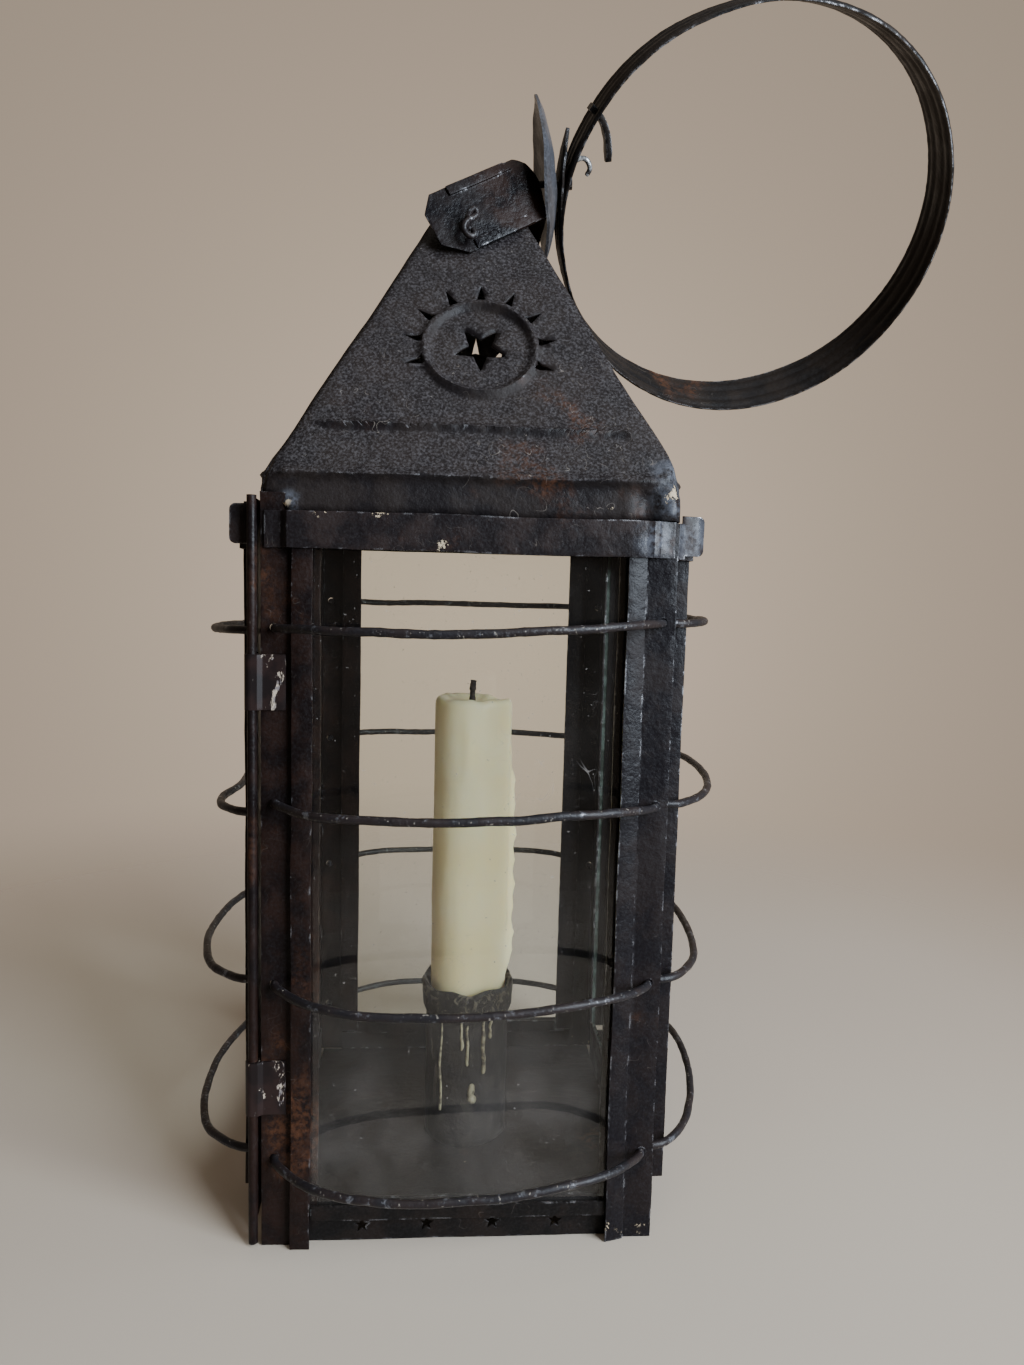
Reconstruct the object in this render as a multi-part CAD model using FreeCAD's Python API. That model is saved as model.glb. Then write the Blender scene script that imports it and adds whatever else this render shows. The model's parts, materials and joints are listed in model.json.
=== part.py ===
"""Square tin candle lantern with a pyramid roof, glazed sides, wire guards, a hinged
door, a candle in a socket, and a tipping cap that carries a smoke disc and a strap ring.

Millimetres, +Z up, front face towards -Y, origin under the middle of the base.
"""
import FreeCAD, Part
import math
import os

V = FreeCAD.Vector
X_AXIS, Y_AXIS, Z_AXIS = V(1, 0, 0), V(0, 1, 0), V(0, 0, 1)

# sheet and glass
SHEET = 0.7
THIN = 0.6
GLASS_T = 2.0

# corner posts
POST_HALF = 52.5
POST_TOP = 196.0
LEG_IN = 43.9
STRIP_IN = 39.5
LIP_IN = 38.0
LIP_BACK = 49.5
STRIP_TOP = 193.7
FRONT_PROUD = 54.5
SIDE_PROUD = 57.5
SHORT_LEG_IN = 47.5

# base pan and glass sills
PAN_HALF = 51.2
PAN_FRONT_TOP = 7.05
PAN_SIDE_TOP = 11.9
FRONT_SILL_Z = (7.1, 11.1)
SIDE_SILL_Z = (12.0, 16.5)
VENT_X = (-26.1, -8.9, 8.9, 26.1)
VENT_Z = 4.3
VENT_R = 2.1
GLASS_FACE = 50.3
GLASS_HALF = 43.3
GLASS_TOP = 190.0

# top bands
BAND_Z = (184.5, 193.7)
BAND_IN = 52.8
REAR_BAND_Z = (189.8, 193.7)
TAB_Z = (185.5, 195.6)

# roof
SKIRT_HALF = 53.2
SKIRT_Z = (193.8, 202.2)
EAVE_HALF, EAVE_Z = 53.3, 202.7
APEX_Z = 306.7
SHOULDER_Z = 203.6
TIP_Z = 284.0
BEAD_R = 0.9
RIB_R = 0.8
BOSS_WIRE = 1.0
RIB_S = 15.5
BOSS_S = 41.5
BOSS_R = 14.9
STAR_R = 7.4
STAR_WAIST = 0.43
RAY_R = 18.4
RAY_STEP = 27

# guard wires
WIRE_R = 1.1
WIRE_HOLE_R = 1.12
WIRE_ENTRY = 49.2
WIRE_FRONT_Z = (164.7, 120.2, 72.2, 24.5)
WIRE_REAR_Z = (170.9, 120.4, 72.6, 17.8)
WIRE_SIDE_X = (71.8, 73.4, 71.8, 73.0)

# door, hinged on the front left corner
HINGE_X, HINGE_Y = -54.7, -52.2
BARREL_R = 1.2
BARREL_Z = (0.8, 197.3)
STRAP_Z = ((144.0, 158.0), (37.0, 51.5))
STRAP_BORE_R = 1.25
STRAP_OUT_R = 1.85
DOOR_IN, DOOR_OUT = -53.5, -54.1
DOOR_STRIP = -58.3
DOOR_Z = (8.0, 193.3)
DOOR_WIRE_Y = 45.9
DOOR_WIRE_TURN = -60.8
DOOR_WIRES = (
    (163.6, ((-68.0, -33.0), (-71.5, -24.0), (-69.5, 2.0), (-67.5, 30.0))),
    (116.0, ((-69.8, -30.5), (-66.0, -12.0), (-70.0, 12.0), (-67.0, 31.0))),
    (70.8, ((-73.0, -33.0), (-78.0, 0.0), (-72.5, 33.0))),
    (23.4, ((-74.0, -34.0), (-79.0, 0.0), (-72.5, 34.0))),
)

# hasp and staple on the rear edge of the door
HASP_X, HASP_Y = -55.3, 46.6
HASP_R = 1.1
HASP_PIN_R = 0.5
HASP_Z = (93.0, 107.0)
KNUCKLE_Z = (95.3, 104.7)
STAPLE_Y = 50.4
STAPLE_R = 0.7
STAPLE_TIP = -58.2

# candle
CANDLE_X = 2.4
CANDLE_R = 12.0
CANDLE_Z = (1.8, 143.8)
SOCKET_IN, SOCKET_OUT = 12.35, 13.2
SOCKET_TOP = 48.0
COLLAR_R = 15.0
COLLAR_TOP = 52.5

# cap strap, straddling the roof tip and tipped to the right
CAP_PIVOT = V(-3, 0, 275.3)
CAP_RISE = 31.0
CAP_EDGES = (-6.0, 12.4)
CAP_BACK = 8.4
CAP_LEN = 23.3
CAP_BACK_CORNERS = ((-2.2, -6.0), (-8.4, -1.0), (-8.4, 8.0), (-4.7, 12.4))
CAP_SPREAD = 19.2
CAP_TAPER = 0.24
CAP_T = 0.8
CAP_BEND_R = 1.2
HEM_T = 0.7
HEM_W = 2.6
HEM_U = (0.5, 19.0)
PIVOT_R = 1.0
RUN = 0.05

# smoke disc and ring, both turning on one pin
DISC_CENTRE = V(19.1, 0, 297.2)
DISC_RISE = 6.06
DISC_R = 22.8
DISC_DOME = 4.2
DISC_T = 0.8
PIN_R = 1.0
RING_TWIST = 33.0
RING_C = (65.9, -13.3)
RING_RX, RING_RZ = 61.0, 56.2
RING_T = 1.2
RING_W = 16.0
TIE_R = 0.75


def box(x, y, z):
    """Box from three (low, high) pairs."""
    return Part.makeBox(x[1] - x[0], y[1] - y[0], z[1] - z[0], V(x[0], y[0], z[0]))


def prism(points, low, high):
    """Plan polygon extruded upwards from low to high."""
    corners = [V(x, y, low) for x, y in points]
    return Part.Face(Part.makePolygon(corners + corners[:1])).extrude(V(0, 0, high - low))


def cylinder(radius, start, end):
    return Part.makeCylinder(radius, (end - start).Length, start, end - start)


def fuse(shapes):
    solid = shapes[0]
    if len(shapes) > 1:
        solid = solid.fuse(shapes[1:])
    return solid.removeSplitter()


def turned(shape, angle, centre=V(0, 0, 0), axis=Z_AXIS):
    out = shape.copy()
    out.rotate(centre, axis, angle)
    return out


def strip_outline(path, thickness):
    """Closed outline of an open path thickened evenly to both sides, with mitred bends."""
    def direction(a, b):
        length = math.hypot(b[0] - a[0], b[1] - a[1])
        return ((b[0] - a[0]) / length, (b[1] - a[1]) / length)

    runs = [direction(a, b) for a, b in zip(path, path[1:])]
    left, right = [], []
    for i, (x, y) in enumerate(path):
        before, after = runs[max(i - 1, 0)], runs[min(i, len(runs) - 1)]
        nx, ny = -(before[1] + after[1]), before[0] + after[0]
        scale = thickness / (nx * -after[1] + ny * after[0]) / 2
        left.append((x + nx * scale, y + ny * scale))
        right.append((x - nx * scale, y - ny * scale))
    return left + right[::-1]


def rounded_wire(points, bends):
    """Wire through the points with an arc of the given radius at each inner point."""
    edges = []
    at = points[0]
    for corner, after, radius in zip(points[1:-1], points[2:], bends):
        a = (at - corner).normalize()
        b = (after - corner).normalize()
        half = a.getAngle(b) / 2
        reach = radius / math.tan(half)
        start, end = corner + a * reach, corner + b * reach
        middle = corner + (a + b).normalize() * (radius / math.sin(half) - radius)
        edges += [Part.LineSegment(at, start).toShape(), Part.Arc(start, middle, end).toShape()]
        at = end
    edges.append(Part.LineSegment(at, points[-1]).toShape())
    return Part.Wire(edges)


def rod(points, bends, radius):
    """Round wire of the given radius along a rounded path."""
    path = rounded_wire(points, bends)
    circle = Part.Circle(points[0], points[1] - points[0], radius)
    solid = path.makePipeShell([Part.Wire(circle.toShape())], True, False)
    if solid.isInside(points[0] + V(0, 0, 1000), 0.1, False):
        solid.reverse()
    return solid


def star_points(radius, waist, tip_angle):
    """Five-pointed star outline about the origin, one tip at tip_angle degrees."""
    points = []
    for i in range(10):
        r = radius if i % 2 == 0 else radius * waist
        angle = math.radians(tip_angle + 36 * i)
        points.append((r * math.cos(angle), r * math.sin(angle)))
    return points


def roof_half(z):
    """Half width of the outer roof pyramid at height z."""
    return EAVE_HALF * (APEX_Z - z) / (APEX_Z - EAVE_Z)


# ---------------------------------------------------------------- base and posts

def base_pan():
    inner = PAN_HALF - THIN
    parts = [box((-inner, inner), (-inner, inner), (0, SHEET))]
    for side in (-1, 1):
        near, far = sorted((side * inner, side * PAN_HALF))
        parts.append(box((-LEG_IN, LEG_IN), (near, far), (0, PAN_FRONT_TOP)))
        parts.append(box((near, far), (-LEG_IN, LEG_IN), (0, PAN_SIDE_TOP)))
    pan = fuse(parts)
    cutters = []
    for x in VENT_X:
        star = prism(star_points(VENT_R, STAR_WAIST, 90), 0, 60)
        star.rotate(V(0, 0, 0), X_AXIS, 90)
        star.translate(V(x, 0, VENT_Z))
        cutters.append(star)
    return pan.cut(cutters)


def post_side(proud, strip_low):
    """Leg and glass channel of one post face, along +X with the corner at the right."""
    channel_low = strip_low + 0.8 if strip_low else FRONT_SILL_Z[0] + 0.8
    return [
        box((LEG_IN, POST_HALF), (-POST_HALF, -POST_HALF + SHEET), (0, POST_TOP)),
        box((LEG_IN, LEG_IN + SHEET), (-proud, -POST_HALF + SHEET), (strip_low, STRIP_TOP)),
        box((STRIP_IN, LEG_IN + SHEET), (-proud, -proud + SHEET), (strip_low, STRIP_TOP)),
        box((LEG_IN, LEG_IN + SHEET), (-POST_HALF, -LIP_BACK), (channel_low, STRIP_TOP)),
        box((LIP_IN, LEG_IN + SHEET), (-LIP_BACK - SHEET, -LIP_BACK), (channel_low, STRIP_TOP)),
    ]


def to_side(shape):
    """Carries a piece of the front face at the right end to the right face, front end."""
    return shape.mirror(V(0, 0, 0), V(1, 1, 0))


def wire_holes(side, heights):
    holes = []
    for z in heights:
        holes.append(cylinder(WIRE_HOLE_R, V(WIRE_ENTRY, -60, z), V(WIRE_ENTRY, -47, z)))
        if side:
            holes.append(cylinder(WIRE_HOLE_R, V(47, -WIRE_ENTRY, z), V(60, -WIRE_ENTRY, z)))
    return holes


def right_post(wire_heights):
    """Front right post, with glass channels on both faces."""
    front = post_side(FRONT_PROUD, 0)
    side = [to_side(s) for s in post_side(SIDE_PROUD, SIDE_SILL_Z[0])]
    return fuse(front + side).cut(wire_holes(True, wire_heights))


def left_post(wire_heights):
    """Front left post, whose side leg is short to leave the doorway clear."""
    short = box((POST_HALF - SHEET, POST_HALF), (-POST_HALF, -SHORT_LEG_IN), (0, POST_TOP))
    post = fuse(post_side(FRONT_PROUD, 0) + [short]).cut(wire_holes(False, wire_heights))
    return post.mirror(V(0, 0, 0), X_AXIS)


def rear(shape):
    return shape.mirror(V(0, 0, 0), Y_AXIS)


def front_sill():
    low, high = FRONT_SILL_Z
    out = FRONT_PROUD - 1.1
    return fuse([
        box((-39.3, 39.3), (-out, -LIP_BACK), (low, low + SHEET)),
        box((-39.3, 39.3), (-out, -out + SHEET), (low, high)),
        box((-37.9, 37.9), (-LIP_BACK - SHEET, -LIP_BACK), (low, high + 0.4)),
    ])


def right_sill():
    low, high = SIDE_SILL_Z
    return fuse([
        box((LIP_BACK, SIDE_PROUD), (-39.3, 39.3), (low, low + SHEET)),
        box((SIDE_PROUD - SHEET, SIDE_PROUD), (-39.3, 39.3), (low, high)),
        box((LIP_BACK, LIP_BACK + SHEET), (-37.9, 37.9), (low, high)),
    ])


def front_glass():
    return box((-GLASS_HALF, GLASS_HALF), (-GLASS_FACE - GLASS_T, -GLASS_FACE),
               (FRONT_SILL_Z[0] + 0.9, GLASS_TOP))


def right_glass():
    return box((GLASS_FACE, GLASS_FACE + GLASS_T), (-GLASS_HALF, GLASS_HALF),
               (SIDE_SILL_Z[0] + 0.9, GLASS_TOP))


def front_band(heights):
    """Top band across the glass channels: ends stepped back onto the post legs, top turned in."""
    on_strip = -FRONT_PROUD - SHEET / 2 - 0.05
    on_leg = -POST_HALF - SHEET / 2 - 0.05
    half = [(45.6, on_strip), (47.4, on_leg), (51.5, on_leg)]
    path = [(-x, y) for x, y in half[::-1]] + half
    flange = box((-37.9, 37.9), (on_strip, -BAND_IN), (heights[1] - SHEET, heights[1]))
    return fuse([prism(strip_outline(path, SHEET), *heights), flange])


def tab(low_x, high_x, y):
    """Square tab with rounded outer corners, standing out from the end of a side band."""
    plate = box((low_x, high_x), (y - SHEET / 2, y + SHEET / 2), TAB_Z)
    outer = high_x if high_x > 0 else low_x
    edges = [e for e in plate.Edges
             if abs(e.BoundBox.XMin - outer) < 0.01 and e.BoundBox.YLength > SHEET / 2
             and e.BoundBox.ZLength < 0.01]
    return plate.makeFillet(1.6, edges)


def right_band():
    on_strip = SIDE_PROUD + SHEET / 2 + 0.05
    on_leg = POST_HALF + SHEET / 2 + 0.4
    half = [(on_strip, 45.4), (on_leg, 47.2), (on_leg, 50.0), (on_leg + 1.5, 50.0)]
    path = [(x, -y) for x, y in half[::-1]] + half
    parts = [prism(strip_outline(path, SHEET), *BAND_Z)]
    parts += [tab(on_leg + 0.5, 60.0, y) for y in (-50.0, 50.0)]
    parts.append(box((BAND_IN, on_strip), (-37.9, 37.9), (BAND_Z[1] - SHEET, BAND_Z[1])))
    return fuse(parts)


# ---------------------------------------------------------------- roof

def on_slope(shape, along):
    """Lays a plan shape on the front slope, its origin at a distance up from the eave."""
    rise = math.degrees(math.atan2(APEX_Z - EAVE_Z, EAVE_HALF))
    reach = math.radians(rise)
    out = turned(shape, rise, axis=X_AXIS)
    out.translate(V(0, -EAVE_HALF + along * math.cos(reach), EAVE_Z + along * math.sin(reach)))
    return out


def ray_cutters():
    cutters = []
    for i in range(9):
        angle = -18 + RAY_STEP * i
        ray = prism([(RAY_R - 2.7, -1.55), (RAY_R + 3.0, 0), (RAY_R - 2.7, 1.55)], -4, 4)
        cutters.append(turned(ray, angle))
    return cutters


def roof_panel():
    """Front roof panel: skirt, eave bead, rib, embossed ring, star and rays."""
    outer = [(SKIRT_HALF, SKIRT_Z[0]), (SKIRT_HALF, SKIRT_Z[1]),
             (roof_half(SHOULDER_Z), SHOULDER_Z), (roof_half(TIP_Z), TIP_Z)]
    inner = [(h - THIN if i < 2 else h - SHEET, z) for i, (h, z) in enumerate(outer)]
    corners = [V(-60, -h, z) for h, z in outer + inner[::-1]]
    sheet = Part.Face(Part.makePolygon(corners + corners[:1])).extrude(V(120, 0, 0))
    bead_y, bead_z = -SKIRT_HALF + 0.6, SHOULDER_Z - 0.5
    bead = cylinder(BEAD_R, V(-47, bead_y, bead_z), V(47, bead_y, bead_z))
    rib = on_slope(cylinder(RIB_R, V(-40, 0, 0), V(40, 0, 0)), RIB_S)
    boss = on_slope(Part.makeTorus(BOSS_R, BOSS_WIRE, V(0, 0, -0.3)), BOSS_S)
    inside = [V(-70, -h, z) for h, z in inner] + [V(-70, 0, TIP_Z), V(-70, 0, SKIRT_Z[0])]
    cavity = Part.Face(Part.makePolygon(inside + inside[:1])).extrude(V(140, 0, 0))
    panel = fuse([sheet, bead, rib, boss]).cut(cavity)
    wedge = prism([(0, 0), (-62, -62), (62, -62)], 190, 290)
    star = prism(star_points(STAR_R, STAR_WAIST, -90), -4, 4)
    cuts = [on_slope(c, BOSS_S) for c in [star] + ray_cutters()]
    return panel.common(wedge).cut(cuts)


def pivot_hole():
    return cylinder(PIVOT_R + RUN, CAP_PIVOT - V(0, 25, 0), CAP_PIVOT + V(0, 25, 0))


def pivot_wire():
    """Pivot wire through the roof tip, twisted into a loop in front and hooked behind."""
    span = CAP_SPREAD + 3.2
    wire = cylinder(PIVOT_R, CAP_PIVOT - V(0, span, 0), CAP_PIVOT + V(0, span, 0))
    parts = [wire]
    for side in (-1, 1):
        wrap = Part.makeTorus(1.7, 0.8, CAP_PIVOT + V(0, side * (span - 0.9), 0), Y_AXIS)
        loop = Part.makeTorus(2.8, 0.9, CAP_PIVOT + V(1.6, side * (span + 0.5), 1.6), Y_AXIS)
        parts += [wrap, loop]
    return fuse(parts)


# ---------------------------------------------------------------- guard wires

def guard_wire(front_z, rear_z, side_x):
    """One wire bowed across the front, right and rear faces, threaded through the posts."""
    def height(y):
        share = (max(-WIRE_ENTRY, min(WIRE_ENTRY, y)) + WIRE_ENTRY) / (2 * WIRE_ENTRY)
        return front_z + (rear_z - front_z) * share

    face = [(WIRE_ENTRY, 54.6, 4), (34.0, 69.0, 22), (0.0, 73.0, 60)]
    front = [(-x, -y, r) for x, y, r in face] + [(x, -y, r) for x, y, r in face[1::-1]]
    side = [(57.4, -WIRE_ENTRY, 4), (68.0, -34.0, 22), (side_x, 0.0, 60), (68.0, 34.0, 22),
            (57.4, WIRE_ENTRY, 4)]
    back = [(-x, -y, r) for x, y, r in front]
    knee = [(WIRE_ENTRY, -WIRE_ENTRY, 2.3)]
    knee_back = [(WIRE_ENTRY, WIRE_ENTRY, 2.3)]
    stations = front + knee + side + knee_back + back
    start, end = V(-WIRE_ENTRY, -50.2, front_z), V(-WIRE_ENTRY, 50.2, rear_z)
    points = [start] + [V(x, y, height(y)) for x, y, _ in stations] + [end]
    return rod(points, [r for _, _, r in stations], WIRE_R)


def door_wire(z, bow):
    front = [(-52.6, -DOOR_WIRE_Y), (DOOR_WIRE_TURN, -DOOR_WIRE_Y)]
    back = [(x, -y) for x, y in front[::-1]]
    points = [V(x, y, z) for x, y in front + list(bow) + back]
    return rod(points, [3.5] + [6.0] * len(bow) + [3.5], WIRE_R)


# ---------------------------------------------------------------- door

def hinge_strap(low, high):
    """Strap nailed to the post and wrapped round the door barrel."""
    loop = cylinder(STRAP_OUT_R, V(HINGE_X, HINGE_Y, low), V(HINGE_X, HINGE_Y, high))
    face = -POST_HALF - 0.05
    front = HINGE_Y - STRAP_OUT_R
    bridge = prism([(HINGE_X, front), (HINGE_X + 1.6, front + 0.1), (-51.9, face - THIN),
                    (-51.9, face), (HINGE_X + 1.2, front + 1.1), (HINGE_X, front + 0.9)], low, high)
    plate = box((-52.0, -46.2), (face - THIN, face), (low, high))
    bore = cylinder(STRAP_BORE_R, V(HINGE_X, HINGE_Y, low - 1), V(HINGE_X, HINGE_Y, high + 1))
    return fuse([loop, bridge, plate]).cut(bore)


def stile_section(y_in, y_out):
    """Glass channel of a door stile; y_in is the end at the glass, both on one side."""
    sign = 1 if y_out > 0 else -1
    lo, hi = sorted((sign * STRIP_IN, sign * (LEG_IN + SHEET)))
    step = sorted((sign * LEG_IN, sign * (LEG_IN + SHEET)))
    strip_z = (SIDE_SILL_Z[0], DOOR_Z[1])
    return [
        box((DOOR_OUT, DOOR_IN), sorted((y_in, y_out)), DOOR_Z),
        box((DOOR_STRIP, DOOR_STRIP + SHEET), (lo, hi), strip_z),
        box((DOOR_STRIP, DOOR_IN), step, strip_z),
    ]


def door_wire_holes(y):
    return [cylinder(WIRE_HOLE_R, V(-62, y, z), V(-50, y, z)) for z, _ in DOOR_WIRES]


def hinge_stile():
    barrel = cylinder(BARREL_R, V(HINGE_X, HINGE_Y, BARREL_Z[0]), V(HINGE_X, HINGE_Y, BARREL_Z[1]))
    sheet = fuse(stile_section(-LIP_IN, HINGE_Y + 0.6))
    for low, high in STRAP_Z:
        start, end = V(HINGE_X, HINGE_Y, low - 0.4), V(HINGE_X, HINGE_Y, high + 0.4)
        sheet = sheet.cut(cylinder(STRAP_OUT_R + 0.5, start, end))
    return fuse([sheet.cut(door_wire_holes(-DOOR_WIRE_Y)), barrel])


def knuckle(low, high):
    start, end = V(HASP_X, HASP_Y, low), V(HASP_X, HASP_Y, high)
    return cylinder(HASP_R, start, end)


def latch_stile():
    parts = stile_section(LIP_IN, 48.6)
    for low, high in ((HASP_Z[0] - 1, KNUCKLE_Z[0] - 0.3), (KNUCKLE_Z[1] + 0.3, HASP_Z[1] + 1)):
        parts.append(knuckle(low, high))
        parts.append(box((HASP_X, DOOR_OUT), (HASP_Y - 0.6, HASP_Y + 0.6), (low, high)))
    bore = cylinder(HASP_PIN_R + 0.01, V(HASP_X, HASP_Y, 80), V(HASP_X, HASP_Y, 120))
    return fuse(parts).cut([bore] + door_wire_holes(DOOR_WIRE_Y))


def door_top_rail():
    on_strip = DOOR_STRIP - SHEET / 2 - 0.05
    on_sheet = DOOR_OUT - SHEET / 2 - 0.05
    half = [(on_strip, 45.4), (on_sheet, 46.8), (on_sheet, 49.0), (on_sheet - 1.5, 49.0)]
    path = [(x, -y) for x, y in half[::-1]] + half
    low, high = BAND_Z[0], DOOR_Z[1]
    parts = [prism(strip_outline(path, SHEET), low, high)]
    parts += [tab(-60.7, on_sheet - 0.5, y) for y in (-49.0, 49.0)]
    parts.append(box((on_strip, DOOR_IN), (-37.9, 37.9), (high - SHEET, high)))
    parts.append(box((DOOR_OUT, DOOR_IN), (-37.9, 37.9), (low, high)))
    return fuse(parts)


def door_bottom_rail():
    low, high = SIDE_SILL_Z
    return fuse([
        box((DOOR_STRIP, DOOR_OUT - 0.05), (-39.4, 39.4), (low, low + SHEET)),
        box((DOOR_STRIP, DOOR_STRIP + SHEET), (-39.4, 39.4), (low, high)),
        box((DOOR_OUT - 0.05, DOOR_IN), (-37.9, 37.9), (low, low + SHEET)),
        box((DOOR_OUT, DOOR_IN), (-37.9, 37.9), (DOOR_Z[0], high)),
    ])


def door_glass():
    face = DOOR_OUT - 0.8
    return box((face - GLASS_T, face), (-GLASS_HALF, GLASS_HALF), (SIDE_SILL_Z[0] + 0.9, 191.4))


def staple():
    low, high = 97.7, 102.3
    points = [V(x, STAPLE_Y, z) for x, z in
              ((-51.2, low), (STAPLE_TIP + STAPLE_R, low), (STAPLE_TIP + STAPLE_R, high), (-51.2, high))]
    return rod(points, [2.2, 2.2], STAPLE_R)


def staple_holes():
    return [cylinder(STAPLE_R + 0.02, V(-56, STAPLE_Y, z), V(-50, STAPLE_Y, z)) for z in (97.7, 102.3)]


def hasp():
    """Slotted plate on its own knuckle; the slot lets the staple through."""
    face = HASP_X - HASP_R
    plate = box((face, face + SHEET), (HASP_Y + 1.6, 54.8), HASP_Z)
    corners = [e for e in plate.Edges if e.BoundBox.YMin > 54.7 and e.BoundBox.XLength > SHEET / 2]
    plate = plate.makeFillet(3.0, corners)
    neck = box((face, face + SHEET), (HASP_Y, HASP_Y + 2.4), KNUCKLE_Z)
    slot = box((face - 1, face + 2), (49.2, 52.8), (96.0, 104.0))
    bore = cylinder(HASP_PIN_R + RUN, V(HASP_X, HASP_Y, 80), V(HASP_X, HASP_Y, 120))
    return fuse([plate.cut(slot), neck, knuckle(*KNUCKLE_Z)]).cut(bore)


def hasp_pin():
    return cylinder(HASP_PIN_R, V(HASP_X, HASP_Y, HASP_Z[0] - 1.5), V(HASP_X, HASP_Y, HASP_Z[1] + 1.5))


# ---------------------------------------------------------------- candle

def revolve(profile, centre_x):
    corners = [V(r, 0, z) for r, z in profile]
    solid = Part.Face(Part.makePolygon(corners + corners[:1])).revolve(V(0, 0, 0), Z_AXIS, 360)
    solid.translate(V(centre_x, 0, 0))
    return solid


def candle_socket():
    """Closed tube with a flared, notched collar."""
    profile = [(0, SHEET), (SOCKET_OUT, SHEET), (SOCKET_OUT, SOCKET_TOP - 2), (COLLAR_R, COLLAR_TOP - 2.5),
               (COLLAR_R - 0.6, COLLAR_TOP), (SOCKET_IN + 0.6, COLLAR_TOP - 1.2), (SOCKET_IN, SOCKET_TOP),
               (SOCKET_IN, SHEET * 2), (0, SHEET * 2)]
    socket = revolve(profile, CANDLE_X)
    notches = []
    for i in range(8):
        notch = prism([(11, -0.8), (18, -1.6), (18, 1.6), (11, 0.8)], COLLAR_TOP - 3.2, COLLAR_TOP + 2)
        notch.rotate(V(0, 0, 0), Z_AXIS, 20 + 45 * i)
        notch.translate(V(CANDLE_X, 0, 0))
        notches.append(notch)
    return socket.cut(notches)


def candle():
    """Plain candle with a worn dished top round the wick."""
    low, high = CANDLE_Z
    profile = [(0, low), (CANDLE_R - 0.8, low), (CANDLE_R, low + 0.8), (CANDLE_R, high - 2.5),
               (CANDLE_R - 1.2, high - 0.4), (CANDLE_R - 3.5, high - 1.2), (3, high - 3.0), (0, high - 3.0)]
    hole = cylinder(0.72, V(CANDLE_X, 0, high - 9), V(CANDLE_X, 0, high + 5))
    return revolve(profile, CANDLE_X).cut(hole)


def wick():
    high = CANDLE_Z[1]
    points = [V(CANDLE_X, 0, high - 9), V(CANDLE_X, 0, high), V(CANDLE_X + 1.6, 0, high + 4.2)]
    return rod(points, [4.0], 0.7)


# ---------------------------------------------------------------- cap, disc and ring

def to_cap(shape):
    """Carries a piece drawn with +X along the cap strap to its place on the pivot."""
    out = turned(shape, -CAP_RISE, axis=Y_AXIS)
    out.translate(CAP_PIVOT)
    return out


def to_pin(shape):
    """Carries a piece drawn about the X axis to the swivel pin."""
    out = turned(shape, -DISC_RISE, axis=Y_AXIS)
    out.translate(DISC_CENTRE)
    return out


def to_ring(shape):
    """Stands a plan shape up in the plane of the ring and twists it round the pin."""
    return to_pin(turned(turned(shape, 90, axis=X_AXIS), RING_TWIST, axis=X_AXIS))


def cap_leg_face(u):
    """Distance of the inner face of a cap leg from the middle, u along the strap."""
    return CAP_SPREAD - CAP_TAPER * u


def cap_strap():
    """Folded strap whose two legs straddle the roof tip, with clipped ends and turned hems."""
    slant = CAP_T * math.sqrt(1 + CAP_TAPER ** 2)
    web = CAP_LEN - CAP_T
    low, high = CAP_EDGES
    side = [(-CAP_BACK, cap_leg_face(-CAP_BACK)), (web, cap_leg_face(web))]
    inner = side + [(u, -y) for u, y in side[::-1]]
    outside = [(-CAP_BACK, side[0][1] + slant), (CAP_LEN, cap_leg_face(CAP_LEN) + slant)]
    outer = [(u, -y) for u, y in outside] + outside[::-1]
    strap = prism(inner + outer, low, high)
    corners = [V(u, -30, v) for u, v in CAP_BACK_CORNERS + ((CAP_LEN, high), (CAP_LEN, low))]
    body = Part.Face(Part.makePolygon(corners + corners[:1])).extrude(V(0, 60, 0))
    ends = [e for e in body.Edges if e.BoundBox.YLength > 50 and e.BoundBox.XMin > CAP_LEN - 0.1]
    strap = strap.common(body.makeFillet(CAP_BEND_R, ends))
    hems = []
    for sign in (-1, 1):
        leg = [(u, cap_leg_face(u) + slant) for u in HEM_U]
        hem = [(u, sign * (y - 0.02)) for u, y in leg] + [(u, sign * (y + HEM_T)) for u, y in leg[::-1]]
        hems += [prism(hem, high - HEM_W, high), prism(hem, low, low + HEM_W)]
    cap = to_cap(fuse([strap] + hems))
    pin = to_pin(cylinder(PIN_R + 0.01, V(-14, 0, 0), V(4, 0, 0)))
    return cap.cut([pivot_hole(), pin])


def swivel_pin():
    """Pin headed at both ends, with a shoulder under the disc."""
    parts = [cylinder(PIN_R, V(-10.0, 0, 0), V(9.4, 0, 0)),
             cylinder(1.6, V(-10.1, 0, 0), V(-9.3, 0, 0)),
             cylinder(2.0, V(2.6, 0, 0), V(3.7, 0, 0)),
             cylinder(1.9, V(8.6, 0, 0), V(9.4, 0, 0))]
    return to_pin(fuse(parts))


def smoke_disc():
    """Shallow dished disc, hollow towards the cap."""
    steps = 10
    near, far = [], []
    for i in range(steps + 1):
        r = PIN_R + RUN + (DISC_R - PIN_R - RUN) * i / steps
        depth = DISC_DOME * (1 - (r / DISC_R) ** 2)
        near.append((r, depth - DISC_T / 2))
        far.append((r, depth + DISC_T / 2))
    disc = revolve(near + far[::-1], 0)
    return to_pin(turned(disc, 90, axis=Y_AXIS))


def ring_point(p, q):
    """Point in the ring plane, measured from the ring's own centre."""
    return (RING_C[0] + p, RING_C[1] + q)


def plate(path, thickness, width):
    return prism(strip_outline([ring_point(p, q) for p, q in path], thickness), -width / 2, width / 2)


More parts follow.
